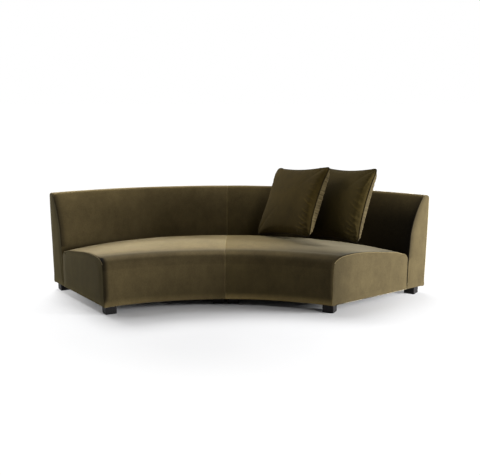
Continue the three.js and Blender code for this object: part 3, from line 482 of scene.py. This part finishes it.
def velvet(name, tones, sheen, sides, tops, seam_light=1.6, hem_light=1.5, flatness=(0.65, 0.99)):
    """Pile cloth. Its strength scales the colour to paint light and shade into it. It changes along the sofa: the
    pairs sides and tops are its values 1.4 m to the left and to the right, on upright and on level cloth,
    and flatness says which faces count as level. Seam and hem get painted highlights."""
    material, tree, shader, coordinates = new_material(name)
    position = tree.nodes.new("ShaderNodeSeparateXYZ")
    facing = tree.nodes.new("ShaderNodeSeparateXYZ")
    tree.links.new(coordinates, position.inputs[0])
    tree.links.new(tree.nodes.new("ShaderNodeNewGeometry").outputs["Normal"], facing.inputs[0])

    broad = noise_texture(tree, coordinates, 5.0, 4.0, 0.6)
    strokes = noise_texture(tree, stretched(tree, coordinates, (7.0, 7.0, 3.5)), 3.0, 4.0, 0.6)
    pile = noise_texture(tree, coordinates, 110.0, 5.0, 0.75)
    grain = mix(tree, 0.4, mix(tree, 0.45, broad, strokes), pile)
    colour = ramp(tree, grain, (0.3, tones[0]), (0.7, tones[1]))

    # Painted light and shade: the colour is scaled along the sofa, and level faces apart from upright ones, as
    # the light falls.
    upright, level = (map_range(tree, position.outputs["X"], (-SHADE_FALLOFF_END, SHADE_FALLOFF_END), pair) for pair in (sides, tops))
    strength = mix(tree, map_range(tree, facing.outputs["Z"], flatness, (0.0, 1.0), True), upright, level)
    # Painted highlights along the hem and along the seam between the modules.
    near_hem = map_range(tree, position.outputs["Z"], (HEM_FROM, HEM_TO), (hem_light, 1.0), True)
    from_seam = calculate(tree, "ABSOLUTE", calculate(tree, "SUBTRACT", position.outputs["X"], CENTRE[0] * MM))
    seam_highlight = map_range(tree, from_seam, (0.0, SEAM_WIDTH), (seam_light, 1.0))
    strength = calculate(tree, "MULTIPLY", calculate(tree, "MULTIPLY", strength, near_hem), seam_highlight)
    # The painted light and shade of each vertex scales the colour as well.
    shift = tree.nodes.new("ShaderNodeAttribute")
    shift.attribute_name = "painted_light_shift"
    strength = calculate(tree, "MULTIPLY_ADD", shift.outputs["Fac"], strength, strength)
    shaded = tree.nodes.new("ShaderNodeVectorMath")
    shaded.operation = "SCALE"
    tree.links.new(colour, shaded.inputs[0])
    tree.links.new(strength, shaded.inputs["Scale"])
    tree.links.new(shaded.outputs[0], shader.inputs["Base Color"])

    tree.links.new(map_range(tree, pile, (0.0, 1.0), (0.82, 1.0)), shader.inputs["Roughness"])
    shader.inputs["Specular IOR Level"].default_value = 0.07
    shader.inputs["Sheen Weight"].default_value = sheen
    shader.inputs["Sheen Roughness"].default_value = SHEEN_ROUGHNESS
    shader.inputs["Sheen Tint"].default_value = SHEEN_TINT
    bump(tree, shader, grain, 0.25, 0.0012)
    return material


def even_velvet(name, tones, sheen, strength, seam_light=1.6, hem_light=1.5):
    """Pile cloth that is as light at one end as at the other."""
    return velvet(name, tones, sheen, (strength, strength), (strength, strength), seam_light, hem_light)


# Lit and shaded copies of one velvet: each module, end panel, seam cord and cushion half has tones and strengths
# that paint the light and shade falling on it, and the pairs paint the falloff of light along the sofa.
LEFT_TONES = linear(35, 29, 16), linear(55, 47, 29)
RIGHT_TONES = linear(33, 27, 14), linear(53, 45, 26)
END_TONES = linear(38, 32, 20), linear(57, 50, 33)
LEFT_END_TONES = linear(38, 32, 16), linear(57, 50, 27)
BACK_TOP = (0.25, 0.9)
BACK_PAINTED_FALLOFF = {"left": (2.1, 1.6), "right": (3.2, 0.12)}

# The right end panels are painted lighter, as the light from the right falls on them.
velvet_right_end = even_velvet("velvet_right_end", END_TONES, 0.4, 2.1, 1.0, 1.1)
SEAT_VELVETS = {
    "left": (velvet("velvet_left_seat", LEFT_TONES, 0.32, (2.0, 1.6), (3.5, 5.5), hem_light=1.8),
             even_velvet("velvet_left_seat_end", LEFT_END_TONES, 0.22, 0.95)),
    "right": (velvet("velvet_right_seat", RIGHT_TONES, 0.18, (2.7, 0.85), (8.0, 0.3), hem_light=3.6),
              velvet_right_end),
}
BACK_VELVETS = {
    "left": (velvet("velvet_left_back", LEFT_TONES, 0.32, BACK_PAINTED_FALLOFF["left"], (4.2, 6.4), flatness=BACK_TOP),
             even_velvet("velvet_left_back_end", LEFT_END_TONES, 0.2, 1.15)),
    "right": (velvet("velvet_right_back", RIGHT_TONES, 0.22, BACK_PAINTED_FALLOFF["right"], (5.4, 3.6), flatness=BACK_TOP),
              velvet_right_end),
}
# The seam cords are painted lighter: a painted highlight on the sewn ridge.
SEAM_VELVETS = {
    "left": even_velvet("velvet_left_seam", END_TONES, 0.3, 2.6),
    "right": even_velvet("velvet_right_seam", END_TONES, 0.5, 3.8),
}
# The cushions' back halves are painted lighter: painted light on the strip seen beside each cushion's right edge.
CUSHION_VELVETS = {
    "left": (even_velvet("velvet_left_cushion", (linear(38, 30, 9), linear(56, 45, 15)), 0.05, 1.0, 1.0, 1.0),
             even_velvet("velvet_left_cushion_back", END_TONES, 0.5, 4.6, 1.0, 1.0)),
    "right": (even_velvet("velvet_right_cushion", (linear(38, 31, 11), linear(57, 47, 19)), 0.05, 1.0, 1.0, 1.0),
              even_velvet("velvet_right_cushion_back", END_TONES, 0.3, 1.9, 1.0, 1.0)),
}
# The piping's tones are darker than the cushion cloth: painted shade in the seam between the cushion halves.
velvet_piping = even_velvet("velvet_piping", (linear(24, 19, 9), linear(40, 32, 17)), 0.05, 1.0, 1.0, 1.0)


def wood(name, dark, light, roughness, scale, specular=0.3):
    material, tree, shader, coordinates = new_material(name)
    grain = noise_texture(tree, stretched(tree, coordinates, (14.0, 14.0, 1.6)), scale, 6.0, 0.65)
    tree.links.new(ramp(tree, grain, (0.35, dark), (0.65, light)), shader.inputs["Base Color"])
    rough = map_range(tree, grain, (0.0, 1.0), (roughness - 0.08, roughness + 0.08))
    tree.links.new(rough, shader.inputs["Roughness"])
    shader.inputs["Specular IOR Level"].default_value = specular
    bump(tree, shader, grain, 0.2, 0.0006)
    return material


def steel(name):
    material, tree, shader, coordinates = new_material(name)
    spots = noise_texture(tree, coordinates, 90.0, 4.0)
    colour = ramp(tree, spots, (0.3, linear(128, 131, 136)), (0.7, linear(165, 168, 172)))
    tree.links.new(colour, shader.inputs["Base Color"])
    tree.links.new(map_range(tree, spots, (0.0, 1.0), (0.28, 0.45)), shader.inputs["Roughness"])
    shader.inputs["Metallic"].default_value = 1.0
    return material


def woven(name, dark, light, scale):
    material, tree, shader, coordinates = new_material(name)
    threads = []
    for direction in ("X", "Y"):
        wave = tree.nodes.new("ShaderNodeTexWave")
        wave.bands_direction = direction
        wave.inputs["Scale"].default_value = scale
        wave.inputs["Distortion"].default_value = 0.6
        tree.links.new(coordinates, wave.inputs["Vector"])
        threads.append(wave.outputs["Fac"])
    weave = calculate(tree, "MULTIPLY", *threads)
    tree.links.new(ramp(tree, weave, (0.0, dark), (1.0, light)), shader.inputs["Base Color"])
    shader.inputs["Roughness"].default_value = 0.95
    bump(tree, shader, weave, 0.3, 0.0005)
    return material


FINISHES = (
    (("foot",), wood("foot_stained_wood", linear(14, 12, 12), linear(28, 26, 26), 0.55, 6.0, 0.14)),
    (("bolt", "spring", "connector"), steel("zinc_steel")),
    (("rail", "frame"), wood("bare_wood", linear(160, 126, 84), linear(205, 172, 124), 0.7, 5.0)),
    (("board",), wood("fibre_board", linear(116, 92, 60), linear(142, 116, 80), 0.85, 9.0)),
    (("deck", "dust", "zip"), woven("lining_cloth", linear(18, 18, 20), linear(40, 40, 43), 900.0)),
)

for name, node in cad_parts.items():
    finish = next((finish for words, finish in FINISHES if any(word in name for word in words)), None)
    if finish:
        node.data.materials.clear()
        node.data.materials.append(finish)


# ---------------------------------------------------------------- seats and backs

# Painted light and shade on the seats and backs: how strongly each part is painted darker or lighter.
SEAT_SHADES = {
    "left": {"corner": 0.55, "edge": 0.0, "far": 0.0, "panel": 0.12},
    "right": {"corner": 0.0, "edge": 0.5, "far": 0.6, "panel": -0.3},
}
BACK_SHADES = {"left": {"corner": 0.62, "panel": 0.35}, "right": {"corner": 0.3, "panel": 0.5}}
# Painted shade over the seat's front edge, painted light in the crease by the back's foot where shade falls, and
# the even strength painted on the back's outside.
FRONT_EDGE_SHADE = 0.55
REAR_LIGHT = 0.9
OUTSIDE_STRENGTH = 1.8


def seam_softness(u, z):
    return 1.2 + 1.6 * smooth((z - 58) / 16)


def seat_softness(u, z):
    front = 1 - smooth((u - 20) / 90)
    return 1.2 + 7.3 * smooth((z - 58) / 60) + 15.0 * front * smooth((z - 78) / 90)


def back_softness(u, z):
    return 1.2 + 7.3 * smooth((z - 58) / 60)


def seat_painted_shade(side):
    """Painted light and shade on a seat: painted shade over its front edge, painted light in the crease by the
    back's foot, and painted shade of its own by the outer end."""
    shade = SEAT_SHADES[side]

    def pile(depth, height, from_end, on_cap, x):
        over_edge = np.exp(-((depth - 66) / 56) ** 2) * (height > 330)
        on_front = (depth < 60) * smooth((height - 60) / 60)
        on_top = smooth((depth - 60) / 80) * (height > 380)
        cloth = -FRONT_EDGE_SHADE * over_edge - shade["corner"] * on_front * np.exp(-(from_end / 16) ** 2)
        cloth = cloth - shade["far"] * on_top * smooth((800 - from_end) / 600)
        cloth = cloth - shade["edge"] * on_top * np.exp(-(from_end / 60) ** 2)
        cloth = cloth + REAR_LIGHT * smooth((depth - 560) / 100) * (height > 340)
        lit_towards_rear = shade["panel"] > 0
        at_panel = shade["panel"] * (smooth((depth - 60) / 160) if lit_towards_rear else 1 - smooth((depth - 20) / 200))
        return np.where(on_cap, at_panel, cloth)
    return pile


def back_painted_shade(side):
    """Painted light and shade on a back: painted shade inside by the outer end, and one even strength outside."""
    shade = BACK_SHADES[side]
    low, high = BACK_PAINTED_FALLOFF[side]
    face = BACK[:np.argmax(BACK[:, 1]) + 1]

    def pile(depth, height, from_end, on_cap, x):
        inside = (depth < 830) * (height > 380) * (height < 775)
        from_face = np.maximum(depth - np.interp(height, face[:, 1], face[:, 0]), 0)
        at_panel = -shade["panel"] * np.exp(-(from_face / 30) ** 2) * (height > 300)
        cloth = -shade["corner"] * inside * np.exp(-(from_end / 30) ** 2)
        # The outside gets one even strength, which undoes the painted falloff along the sofa there.
        outside = smooth((depth - 868) / 20) * (height < 765)
        painted_falloff = low + (high - low) * (np.clip(x, -SHADE_FALLOFF_END, SHADE_FALLOFF_END) + SHADE_FALLOFF_END) / (2 * SHADE_FALLOFF_END)
        cloth = cloth + outside * (OUTSIDE_STRENGTH / painted_falloff - 1)
        return np.where(on_cap, at_panel, cloth)
    return pile


SEAT = seat_outline()
BACK = back_outline()
SEAT_MIDDLE = np.array([360.0, 225.0])
BACK_MIDDLE = np.array([812.0, 420.0])
SEWN = np.flatnonzero((SEAT[:, 1] > 375) & (SEAT[:, 0] < 680))

for side, module in MODULES.items():
    seat, seat_edge = upholstery(
        f"{side}_seat_upholstery", module, SEAT, seat_softness, seat_fall, 84, 4.0, SEAT_MIDDLE,
        SEAT_VELVETS[side], 0.0022, seat_painted_shade(side))
    back, _ = upholstery(
        f"{side}_back_upholstery", module, BACK, back_softness, no_fall, 96, 3.0, BACK_MIDDLE,
        BACK_VELVETS[side], 0.0018, back_painted_shade(side))
    seam_line = tube(f"{side}_seat_end_seam", seat_edge[SEWN], 0.0028, 8, SEAM_VELVETS[side], closed=False)
    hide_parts(f"{side}_seat_cover", f"{side}_seat_end_panel", f"{side}_seat_seam_panel",
                f"{side}_seat_foam")
    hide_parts(f"{side}_back_cover", f"{side}_back_end_panel", f"{side}_back_seam_panel",
                f"{side}_back_foam")
    for piece in (seat, back, seam_line):
        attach(piece, f"{side}_module")


# ---------------------------------------------------------------- cushions

CUSHION_SIZE = 600.0
CUSHION_THICK = 190.0
DRAWN_IN = 0.075
ROUNDNESS = 11.0
DRAWN_POWER = 1.2
CUSHION_STEPS = 88
CUSHIONS = {
    "left": {"centre": (0.44027, 0.18576, 0.7102), "seed": 3.0, "forward": 13.0, "bulge": 38.0,
             "x": (0.6545, -0.7464, 0.1202), "z": (0.2980, 0.4009, 0.8663)},
    "right": {"centre": (0.80957, 0.08336, 0.7067), "seed": 8.0, "forward": 5.0, "bulge": 20.0,
              "x": (0.5781, -0.8101, 0.0977), "z": (0.2701, 0.3029, 0.9139)},
}
CREASES = (  # where each starts, how long it is, which way it runs in degrees and how deep it is
    ((272, -228), 95, 158, 2.6),
    ((274, -196), 120, 152, 2.4),
    ((272, -170), 80, 146, 2.0),
    ((262, -250), 110, 166, 2.2),
    ((271, -128), 90, 150, 2.3),
    ((270, -60), 110, 145, 2.3),
    ((270, -8), 85, 150, 1.9),
    ((270, 60), 75, 160, 1.3),
    ((268, 130), 80, 196, 1.3),
    ((-262, 238), 70, -28, 1.2),
    ((-255, -236), 90, 40, 1.6),
)
CREASE_WIDTH = 0.0055
# Painted shade and highlight along the creases, and painted shade over the cushions' lower front.
CREASE_SHADE = 0.22
LOWER_SHADE = 0.22
GATHER_WIDTH = 0.045
INFLATE = {"pressure": 4.5, "frames": 20, "cap": 0.006, "gather": 0.035}
CUSHION_GAP = 2.5
PIPING_RADIUS = 0.0036


def cushion_frame(data):
    """Where a cushion stands: x runs along it, y through it and z up it."""
    x = Vector(data["x"]).normalized()
    z = Vector(data["z"])
    z = (z - x * z.dot(x)).normalized()
    y = z.cross(x)
    turn = Matrix((x, y, z)).transposed().to_4x4()
    turn.translation = Vector(data["centre"])
    return turn


def cushion_plane(across, up, size):
    """A place in the cushion's own plane. Sides are drawn in between rounded corners."""
    most = max(abs(across), abs(up), 1e-9)
    round_off = 1.0
    if most > 1e-6:
        round_off = most / (abs(across) ** ROUNDNESS + abs(up) ** ROUNDNESS) ** (1 / ROUNDNESS)
    half = size / 2 * round_off
    x = half * across * (1 - DRAWN_IN * (1 - up * up) ** DRAWN_POWER)
    z = half * up * (1 - DRAWN_IN * (1 - across * across) ** DRAWN_POWER)
    return x, z


def cushion_grid(steps):
    """Sines crowd the lines towards the edges, straight steps keep the cells alike: this is halfway."""
    even = [2 * i / steps - 1 for i in range(steps + 1)]
    return [0.55 * e + 0.45 * math.sin(math.pi / 2 * e) for e in even]


def cushion_body(name, size, thickness, steps, forward, bulge, front_cloth, back_cloth):
    """Two crowned halves on one edge. The right edge leans forward, and the back half bulges beside it.
    Returns the object and the vertices round its edge."""
    at = cushion_grid(steps)
    vertices, faces, index = [], [], {}
    for turn in (-1, 1):
        for i, up in enumerate(at):
            for j, across in enumerate(at):
                edge = i in (0, steps) or j in (0, steps)
                key = (0 if edge else turn, i, j)
                if key in index:
                    continue
                x, z = cushion_plane(across, up, size)
                rise = 0 if edge else thickness / 2 * ((1 - across ** 2) * (1 - up ** 2)) ** 0.42
                index[key] = len(vertices)
                shift = forward * smooth(across * 2 - 0.9) * (1 - up ** 6)
                if turn > 0 and across > 0:
                    x += bulge * math.sin(math.pi * min(1.0, (1 - across) / 0.2)) * (1 - up ** 4)
                vertices.append((x * MM, (turn * rise - shift) * MM, z * MM))
    for turn in (-1, 1):
        for i in range(steps):
            for j in range(steps):
                ids = []
                for a, b in [(i, j), (i, j + 1), (i + 1, j + 1), (i + 1, j)]:
                    edge = a in (0, steps) or b in (0, steps)
                    ids.append(index[(0 if edge else turn, a, b)])
                faces.append(tuple(ids if turn < 0 else reversed(ids)))
    seam = [index[(0, 0, j)] for j in range(steps)]
    seam += [index[(0, i, steps)] for i in range(steps)]
    seam += [index[(0, steps, j)] for j in range(steps, 0, -1)]
    seam += [index[(0, i, 0)] for i in range(steps, 0, -1)]
    thing = mesh_object(name, vertices, faces, front_cloth)
    thing.data.materials.append(back_cloth)
    half = len(faces) // 2
    for polygon in thing.data.polygons:
        if polygon.index >= half:
            polygon.material_index = 1
    outward(thing)
    return thing, seam


def inflate(thing, seam, pressure, frames, cap, gather):
    """Blows the cover up as cloth. The seam is gathered, which puckers the cloth beside it."""
    mesh = thing.data
    before, _ = vertex_arrays(mesh)
    edge = before[seam]
    near = np.sqrt(((before[:, None, (0, 2)] - edge[None, ::4][:, :, (0, 2)]) ** 2).sum(2)).min(1)
    group = thing.vertex_groups.new(name="gathered")
    for i, distance in enumerate(near):
        weight = max(0.0, 1 - distance / GATHER_WIDTH)
        if weight > 0:
            group.add([i], weight, "REPLACE")
    modifier = thing.modifiers.new("cloth", "CLOTH")
    settings = modifier.settings
    settings.quality = 6
    settings.mass = 0.25
    settings.tension_stiffness = 60
    settings.compression_stiffness = 60
    settings.shear_stiffness = 25
    settings.bending_stiffness = 0.4
    settings.air_damping = 4
    settings.use_pressure = True
    settings.uniform_pressure_force = pressure
    settings.shrink_min = 0.0
    settings.shrink_max = gather
    settings.vertex_group_shrink = "gathered"
    settings.effector_weights.gravity = 0
    modifier.collision_settings.use_collision = False
    modifier.point_cache.frame_start = 1
    modifier.point_cache.frame_end = frames
    scene = bpy.context.scene
    for f in range(1, frames + 1):
        scene.frame_set(f)
    shaped = thing.evaluated_get(bpy.context.evaluated_depsgraph_get())
    after = np.empty(len(mesh.vertices) * 3)
    shaped.data.vertices.foreach_get("co", after)
    after = after.reshape(-1, 3)
    thing.modifiers.remove(modifier)
    thing.vertex_groups.remove(group)
    scene.frame_set(1)
    after -= after.mean(0) - before.mean(0)
    for k in (0, 2):
        after[:, k] *= np.ptp(before[seam, k]) / np.ptp(after[seam, k])
    move = after - before
    size = np.linalg.norm(move, axis=1)
    move *= np.minimum(1, cap / np.maximum(size, 1e-9))[:, None]
    mesh.vertices.foreach_set("co", (before + move).ravel())
    mesh.update()


def ruffle(thing, seam, seed):
    """Puckers in the cloth beside the piping, deepest by the right edge and its lower corner, then creases, with
    painted light and shade.
    """
    mesh = thing.data
    co, no = vertex_arrays(mesh)
    edge = co[seam][:, (0, 2)]
    along = np.concatenate([[0.0], np.cumsum(np.linalg.norm(np.diff(edge, axis=0), axis=1))])
    off = np.linalg.norm(co[:, None, (0, 2)] - edge[None], axis=2)
    nearest = off.argmin(1)
    distance = off.min(1)
    half = CUSHION_SIZE / 2 * MM
    for i in range(len(co)):
        right = max(0.0, co[i][0] / half) ** 2
        low = max(0.0, -co[i][2] / half) ** 2
        fade = math.exp(-(distance[i] / (0.05 + 0.05 * right * low)) ** 2) * min(1.0, distance[i] / 0.012)
        if fade < 0.02:
            continue
        s = along[nearest[i]]
        depth = 0.0008 + 0.0028 * right + 0.003 * right * low
        wave = noise.noise(Vector((s * 55, distance[i] * 14, seed))) + 0.5 * noise.noise(
            Vector((s * 120, distance[i] * 22, seed + 5)))
        co[i] += no[i] * depth * fade * wave * 1.6
    shift = np.zeros(len(co))
    for start, length, turn, depth in CREASES:
        angle = math.radians(turn)
        ahead = np.array([math.cos(angle), math.sin(angle)])
        away = co[:, (0, 2)] - np.array(start) * MM
        travel = away @ ahead / (length * MM)
        aside = (away @ np.array([-ahead[1], ahead[0]]) - 0.004 * np.sin(travel * 3)) / CREASE_WIDTH
        shape = np.exp(-aside ** 2) * (1 - 1.6 * aside) * np.sin(math.pi * np.clip(travel, 0, 1))
        front = no[:, 1] < 0
        co += no * (depth * MM * shape * front)[:, None]
        # Painted shade in each crease and painted highlight on its ridge.
        shift += CREASE_SHADE * depth * shape * front
    # Painted shade, growing towards the bottom of the front half.
    shift -= LOWER_SHADE * smooth((0.1 - co[:, 2]) / 0.36) * (co[:, 1] < 0)
    # Streaks of painted light and shade on the right of the back half.
    for i in np.flatnonzero((co[:, 1] > 0) & (co[:, 0] > 0.2)):
        shift[i] += 0.9 * noise.noise(Vector((along[nearest[i]] * 90, distance[i] * 12, seed + 9)))
    paint(thing, np.clip(shift, -0.6, 1.0))
    mesh.vertices.foreach_set("co", co.ravel())
    mesh.update()


def keep_clear(points, gap):
    """Presses points, in metres, out of the right module's seat and inside back."""
    module = MODULES["right"]
    top = SEAT[(SEAT[:, 1] > 362) & (SEAT[:, 0] < 708)]
    face = BACK[:np.argmax(BACK[:, 1]) + 1]
    out = points / MM
    for _ in range(3):
        x, y = out[:, 0] - CENTRE[0], out[:, 1] - CENTRE[1]
        radius, angle = np.hypot(x, y), np.arctan2(x, y)
        wall = FRONT_RADIUS + np.interp(out[:, 2], face[:, 1], face[:, 0]) - gap
        inside = (out[:, 2] < 787) & (radius > wall)
        shrunk = np.where(inside, wall / radius, 1.0)
        x, y = x * shrunk, y * shrunk
        radius = radius * shrunk
        u = radius - FRONT_RADIUS
        first = angle_on(module["seam"], radius, np.zeros(len(u)))
        last = angle_on(module["end"], radius, np.zeros(len(u)))
        share = np.clip((angle - first) / (last - first), 0, 1)
        height = np.interp(u, top[:, 0], top[:, 1])
        fall = END_DROP * smooth((u - FALL_FROM) / (FALL_TO - FALL_FROM)) * share ** 2.5
        height = height - fall * np.clip((height - DECK_TOP) / (SEAT_HEIGHT - DECK_TOP), 0, 1)
        out[:, 0], out[:, 1] = x + CENTRE[0], y + CENTRE[1]
        out[:, 2] = np.maximum(out[:, 2], height + gap)
    return out * MM


for side, data in CUSHIONS.items():
    where = cushion_frame(data)
    cushion, seam = cushion_body(f"{side}_cushion", CUSHION_SIZE, CUSHION_THICK - 16, CUSHION_STEPS,
                                 data["forward"], data["bulge"], *CUSHION_VELVETS[side])
    soften(cushion, 0.0012, data["seed"])
    inflate(cushion, seam, **INFLATE)
    ruffle(cushion, seam, data["seed"])
    cushion.data.transform(where)
    co, _ = vertex_arrays(cushion.data)
    co = keep_clear(co, CUSHION_GAP)
    cushion.data.vertices.foreach_set("co", co.ravel())
    cushion.data.update()
    rim = co[seam]
    middle = co.mean(0)
    outward_rim = (rim - middle) / np.linalg.norm(rim - middle, axis=1)[:, None]
    path = rim + outward_rim * 0.0012
    piping = tube(f"{side}_cushion_piping", path, PIPING_RADIUS, 10, velvet_piping)
    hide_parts(f"{side}_cushion_cover", f"{side}_cushion_insert", f"{side}_cushion_zip")
    for piece in (cushion, piping):
        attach(piece, f"{side}_cushion")

# ---------------------------------------------------------------- floor, lights and camera

FLOOR_FADE = (0.9, 2.1)
FLOOR_GLOW = 1.05
AMBIENT = 0.16

floor_material, floor_tree, floor_shader, floor_coordinates = new_material("studio_floor")
floor_colour = ramp(floor_tree, noise_texture(floor_tree, floor_coordinates, 0.8, 2.0),
                    (0.3, (0.46, 0.46, 0.465, 1)), (0.7, (0.49, 0.49, 0.495, 1)))
floor_tree.links.new(floor_colour, floor_shader.inputs["Base Color"])
floor_shader.inputs["Roughness"].default_value = 0.9
floor_shader.inputs["Specular IOR Level"].default_value = 0.1
glow = floor_tree.nodes.new("ShaderNodeEmission")
glow.inputs["Color"].default_value = (1, 1, 1, 1)
glow.inputs["Strength"].default_value = FLOOR_GLOW
distance = floor_tree.nodes.new("ShaderNodeVectorMath")
distance.operation = "LENGTH"
floor_tree.links.new(floor_coordinates, distance.inputs[0])
floor_mix = floor_tree.nodes.new("ShaderNodeMixShader")
floor_output = next(node for node in floor_tree.nodes if node.type == "OUTPUT_MATERIAL")
floor_tree.links.new(map_range(floor_tree, distance.outputs["Value"], FLOOR_FADE, (0.0, 1.0), True),
                     floor_mix.inputs[0])
floor_tree.links.new(floor_shader.outputs[0], floor_mix.inputs[1])
floor_tree.links.new(glow.outputs[0], floor_mix.inputs[2])
floor_tree.links.new(floor_mix.outputs[0], floor_output.inputs[0])
bpy.ops.mesh.primitive_plane_add(size=60, location=(0, 0, 0))
floor = bpy.context.object
floor.name = "studio_floor"
floor.data.materials.append(floor_material)


def area_light(name, location, target, width, height, power):
    data = bpy.data.lights.new(name, "AREA")
    data.shape = "RECTANGLE"
    data.size = width
    data.size_y = height
    data.energy = power
    lamp = bpy.data.objects.new(name, data)
    lamp.location = location
    lamp.rotation_euler = (Vector(target) - Vector(location)).to_track_quat("-Z", "Y").to_euler()
    bpy.context.scene.collection.objects.link(lamp)


def sun_light(name, direction, strength, spread):
    data = bpy.data.lights.new(name, "SUN")
    data.energy = strength
    data.angle = math.radians(spread)
    lamp = bpy.data.objects.new(name, data)
    lamp.rotation_euler = Vector(direction).to_track_quat("-Z", "Y").to_euler()
    bpy.context.scene.collection.objects.link(lamp)


sun_light("rear_light", (0.9, -2.0, -3.4), 2.5, 45)
area_light("top_light", (-2.0, 1.3, 2.4), (-0.8, 0.2, 0.4), 1.4, 1.0, 95)
area_light("right_light", (4.6, -1.0, 0.95), (0.9, -0.2, 0.3), 1.2, 0.8, 470)
area_light("front_light", (3.4, -3.2, 3.0), (0.2, 0.0, 0.4), 1.4, 1.2, 95)
area_light("left_light", (-4.5, 0.3, 1.5), (-1.2, 0.2, 0.4), 1.4, 1.0, 80)

world = bpy.data.worlds.new("studio_world")
bpy.context.scene.world = world
world.use_nodes = True
world_tree = world.node_tree
world_tree.nodes.clear()
world_output = world_tree.nodes.new("ShaderNodeOutputWorld")
ambient = world_tree.nodes.new("ShaderNodeBackground")
ambient.inputs["Color"].default_value = (1, 1, 1, 1)
ambient.inputs["Strength"].default_value = AMBIENT
backdrop = world_tree.nodes.new("ShaderNodeBackground")
backdrop.inputs["Color"].default_value = (1, 1, 1, 1)
backdrop.inputs["Strength"].default_value = 1.0
path_node = world_tree.nodes.new("ShaderNodeLightPath")
choose = world_tree.nodes.new("ShaderNodeMixShader")
world_tree.links.new(path_node.outputs["Is Camera Ray"], choose.inputs[0])
world_tree.links.new(ambient.outputs[0], choose.inputs[1])
world_tree.links.new(backdrop.outputs[0], choose.inputs[2])
world_tree.links.new(choose.outputs[0], world_output.inputs[0])

camera_data = bpy.data.cameras.new("camera")
camera_data.lens = 60
camera_data.sensor_width = 36
camera = bpy.data.objects.new("camera", camera_data)
camera.location = (0.03747, -6.0881, 1.7742)
camera.rotation_euler = (math.pi / 2 - 0.213, 0, 0.003)
bpy.context.scene.collection.objects.link(camera)
bpy.context.scene.camera = camera
bpy.context.scene.view_settings.view_transform = "Standard"
